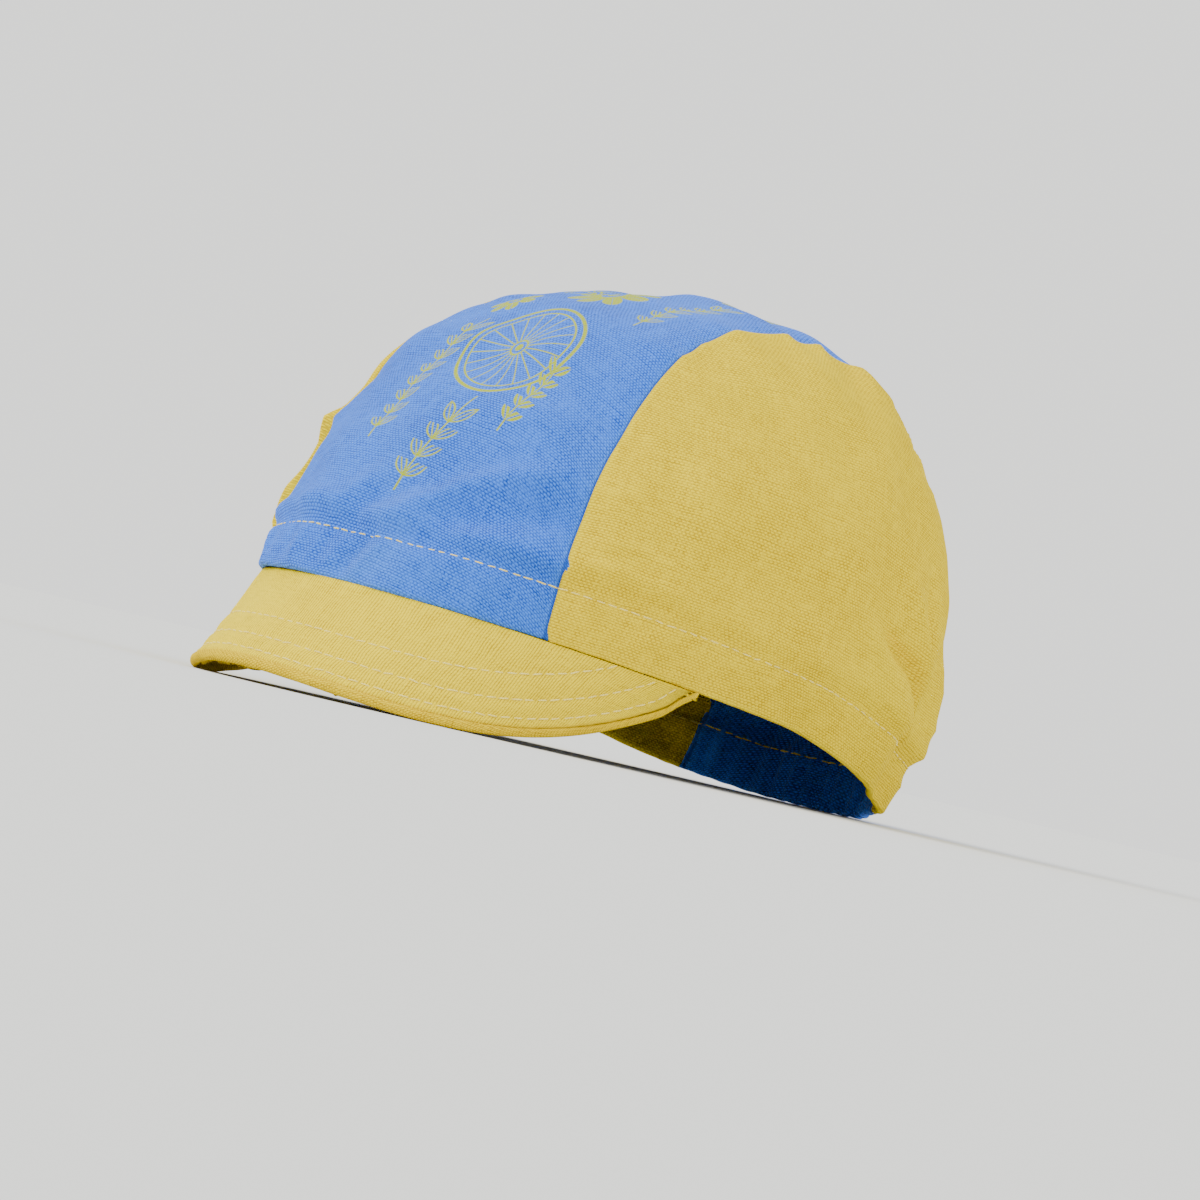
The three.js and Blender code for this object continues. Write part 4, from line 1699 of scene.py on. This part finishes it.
    def stitch_rows(self) -> list[tuple[Array, Array]]:
        """Points and directions of the rows of stitches, over and under the peak."""
        rows = []
        share = np.linspace(-1, 1, 500)
        parts = np.linspace(0.0, 1.0, 90)
        grid_share, grid_part = np.meshgrid(share, parts, indexing="ij")
        distance, _ = self.edge.near(self.shape.face(grid_share, grid_part))
        for row in self.rows_from_edge:
            hit = (distance[:, 0] > row) & (distance[:, -1] < row)
            part = np.array([np.interp(-row, -distance[k], parts) for k in range(len(share))])
            share_row, part_row = share[hit], part[hit]
            points = self.shape.face(share_row, part_row)
            normal, _ = self.shape.frame(share_row, part_row)
            push = self.push(share_row, part_row)
            rows.append((points + normal * push[:, None], normal))
            if row > min(self.rows_from_edge):
                under = points + normal * (0.5 * push - self.total)[:, None]
                rows.append((under, -normal))
        return rows


def towards(turn: float, rise: float) -> Vector:
    """The direction that is turned from the front over the wearer's left, and then rises."""
    level = math.cos(rise)
    return Vector((math.sin(turn) * level, -math.cos(turn) * level, math.sin(rise)))


@dataclass(frozen=True)
class Studio:
    """The camera, the lights and the pale floor: metres and degrees."""

    azimuth: float = 48.70
    elevation: float = -0.4
    roll: float = 13.13
    distance: float = 1.4
    pixels_per_mm: float = 3.721
    middle: tuple[float, float] = (578.86, 678.66)
    frame_size: float = 1200.0
    sensor: float = 36.0
    surround: float = 1.45
    pale: Colour = (1.0, 1.005, 0.98)
    floor_share: float = 0.725
    floor_sides: int = 64

    def directions(self) -> tuple[Vector, Vector, Vector]:
        """The camera's backward, right and upward directions."""
        turn, rise, roll = (math.radians(v) for v in (self.azimuth, self.elevation, self.roll))
        back = towards(turn, rise)
        right = Vector((math.cos(turn), math.sin(turn), 0.0))
        up = back.cross(right)
        level = right * math.cos(roll) + up * math.sin(roll)
        return back, level, back.cross(level)

    def camera(self, target: Vector) -> None:
        """Makes the camera, which looks at the target a little off the picture's middle."""
        back, right, up = self.directions()
        data = bpy.data.cameras.new("camera")
        made = bpy.data.objects.new("camera", data)
        bpy.context.scene.collection.objects.link(made)
        data.sensor_width = self.sensor
        data.lens = self.sensor * self.pixels_per_mm * self.distance / METRES / self.frame_size
        data.shift_x = (self.frame_size / 2 - self.middle[0]) / self.frame_size
        data.shift_y = (self.middle[1] - self.frame_size / 2) / self.frame_size
        data.clip_start = 0.05
        data.clip_end = 60.0
        turn = Matrix((right, up, back)).transposed().to_4x4()
        made.matrix_world = Matrix.Translation(target + back * self.distance) @ turn
        bpy.context.scene.camera = made

    def light(self, name: str, turn: float, rise: float, width: float, power: float) -> None:
        """A very wide soft light that comes from far off.

        Args:
            name: its name.
            turn: degrees round from the front over the wearer's left.
            rise: degrees above the floor.
            width: how wide it looks, in degrees.
            power: what it throws on a surface square to it.
        """
        data = bpy.data.lights.new(name, "SUN")
        data.angle = math.radians(width)
        data.energy = power * math.pi
        made = bpy.data.objects.new(name, data)
        bpy.context.scene.collection.objects.link(made)
        way = towards(math.radians(turn), math.radians(rise))
        made.rotation_euler = way.to_track_quat("Z", "Y").to_euler()

    def lights(self) -> None:
        """A broad light from the camera's upper left, and a weaker one from its right."""
        self.light("key_light", self.azimuth - 74.0, 40.0, 40.0, 0.85)
        self.light("fill_light", self.azimuth + 40.0, 8.0, 70.0, 0.42)

    def world(self) -> None:
        """An even pale surround."""
        world = bpy.data.worlds.new("surround")
        bpy.context.scene.world = world
        world.use_nodes = True
        shade = world.node_tree.nodes["Background"]
        shade.inputs["Color"].default_value = (*self.pale, 1.0)
        shade.inputs["Strength"].default_value = self.surround

    def floor(self) -> None:
        """A wide flat floor, as bright as the surround under the studio's lights."""
        radius, sides = 0.2 * 2.0 ** np.arange(8), self.floor_sides
        turn = np.linspace(0, 2 * math.pi, sides + 1)[:-1]
        ring = np.stack([np.cos(turn), np.sin(turn), np.zeros(sides)], axis=-1)
        points = np.append((ring[:, None, :] * radius[:, None]).reshape(-1, 3), [[0, 0, 0]], 0)
        index = np.arange(sides * len(radius)).reshape(sides, -1)
        after = np.roll(index, -1, axis=0)
        rings = np.stack([index[:, :-1], index[:, 1:], after[:, 1:], after[:, :-1]], axis=-1)
        middle = np.stack([np.full(sides, index.size), index[:, 0], after[:, 0]], axis=-1)
        colour = tuple(self.floor_share * part for part in self.pale)
        sockets = {"Base Color": (*colour, 1.0), "Roughness": 0.95, "Specular IOR Level": 0.0}
        mesh = bpy.data.meshes.new("studio_floor")
        mesh.from_pydata(points.tolist(), [], [*rings.reshape(-1, 4).tolist(), *middle.tolist()])
        mesh.materials.append(Paint("studio_floor").end(sockets))
        floor = bpy.data.objects.new("studio_floor", mesh)
        bpy.context.scene.collection.objects.link(floor)

    def build(self, target: Vector) -> None:
        """Makes all of the studio."""
        self.camera(target)
        self.lights()
        self.world()
        self.floor()


def mirrored(patch: Patch) -> Patch:
    """A patch on the other side of the cap, with its columns in turn reversed."""
    points = patch.points[::-1] * np.array([-1.0, 1.0, 1.0])
    cloth = patch.cloth[::-1] * np.array([-1.0, 1.0])
    return Patch(points, -patch.turn[::-1], patch.place[::-1], cloth)


def settle(piece: bpy.types.Object, slot: str, *nodes: str) -> None:
    """Lets a piece ride on the cap and stand for its nodes."""
    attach(piece, "root")
    if nodes:
        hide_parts(*nodes)
    LOG.info("%s: %d faces", piece.name, len(piece.data.polygons))


def main() -> None:
    """Builds the cap and its studio."""
    logging.basicConfig(level=logging.INFO, format="%(message)s")
    standing = Standing()
    shape = CrownShape()
    Studio().build(Vector(standing.shift) * METRES)
    blue, yellow = BLUE.material(Print()), YELLOW.material()
    peak_yellow, thread = PEAK_YELLOW.material(), Thread().material()
    lining = PEAK_LINING_SHADED.material()

    crown = Crown(shape, standing)
    centre = crown.panel("centre_panel", Panel.CENTRE, crown.centre_patch(), blue)
    settle(centre, "blue_canvas", "crown_centre_panel")
    patch = crown.side_patch()
    left = crown.panel("left_panel", Panel.LEFT, patch, yellow)
    settle(left, "yellow_canvas", "crown_left_panel")
    right = crown.panel("right_panel", Panel.RIGHT, mirrored(patch), yellow)
    settle(right, "yellow_canvas", "crown_right_panel")

    peak = Peak(PeakShape(shape), standing)
    settle(peak.top(peak_yellow), "yellow_canvas", "peak_top")
    settle(peak.underside(lining), "yellow_canvas", "peak_underside")

    stitches = Stitches(StitchRow())
    outside, out_way, inside, in_way = crown.hem_row()
    stitches.add(outside, out_way)
    stitches.add(inside, in_way)
    settle(stitches.make("hem_stitches", thread, standing), "yellow_canvas")
    stitches = Stitches(StitchRow())
    for points, normals in peak.stitch_rows():
        stitches.add(points, normals)
    settle(stitches.make("peak_stitches", thread, standing), "yellow_canvas")


if __name__ == "__main__":
    main()
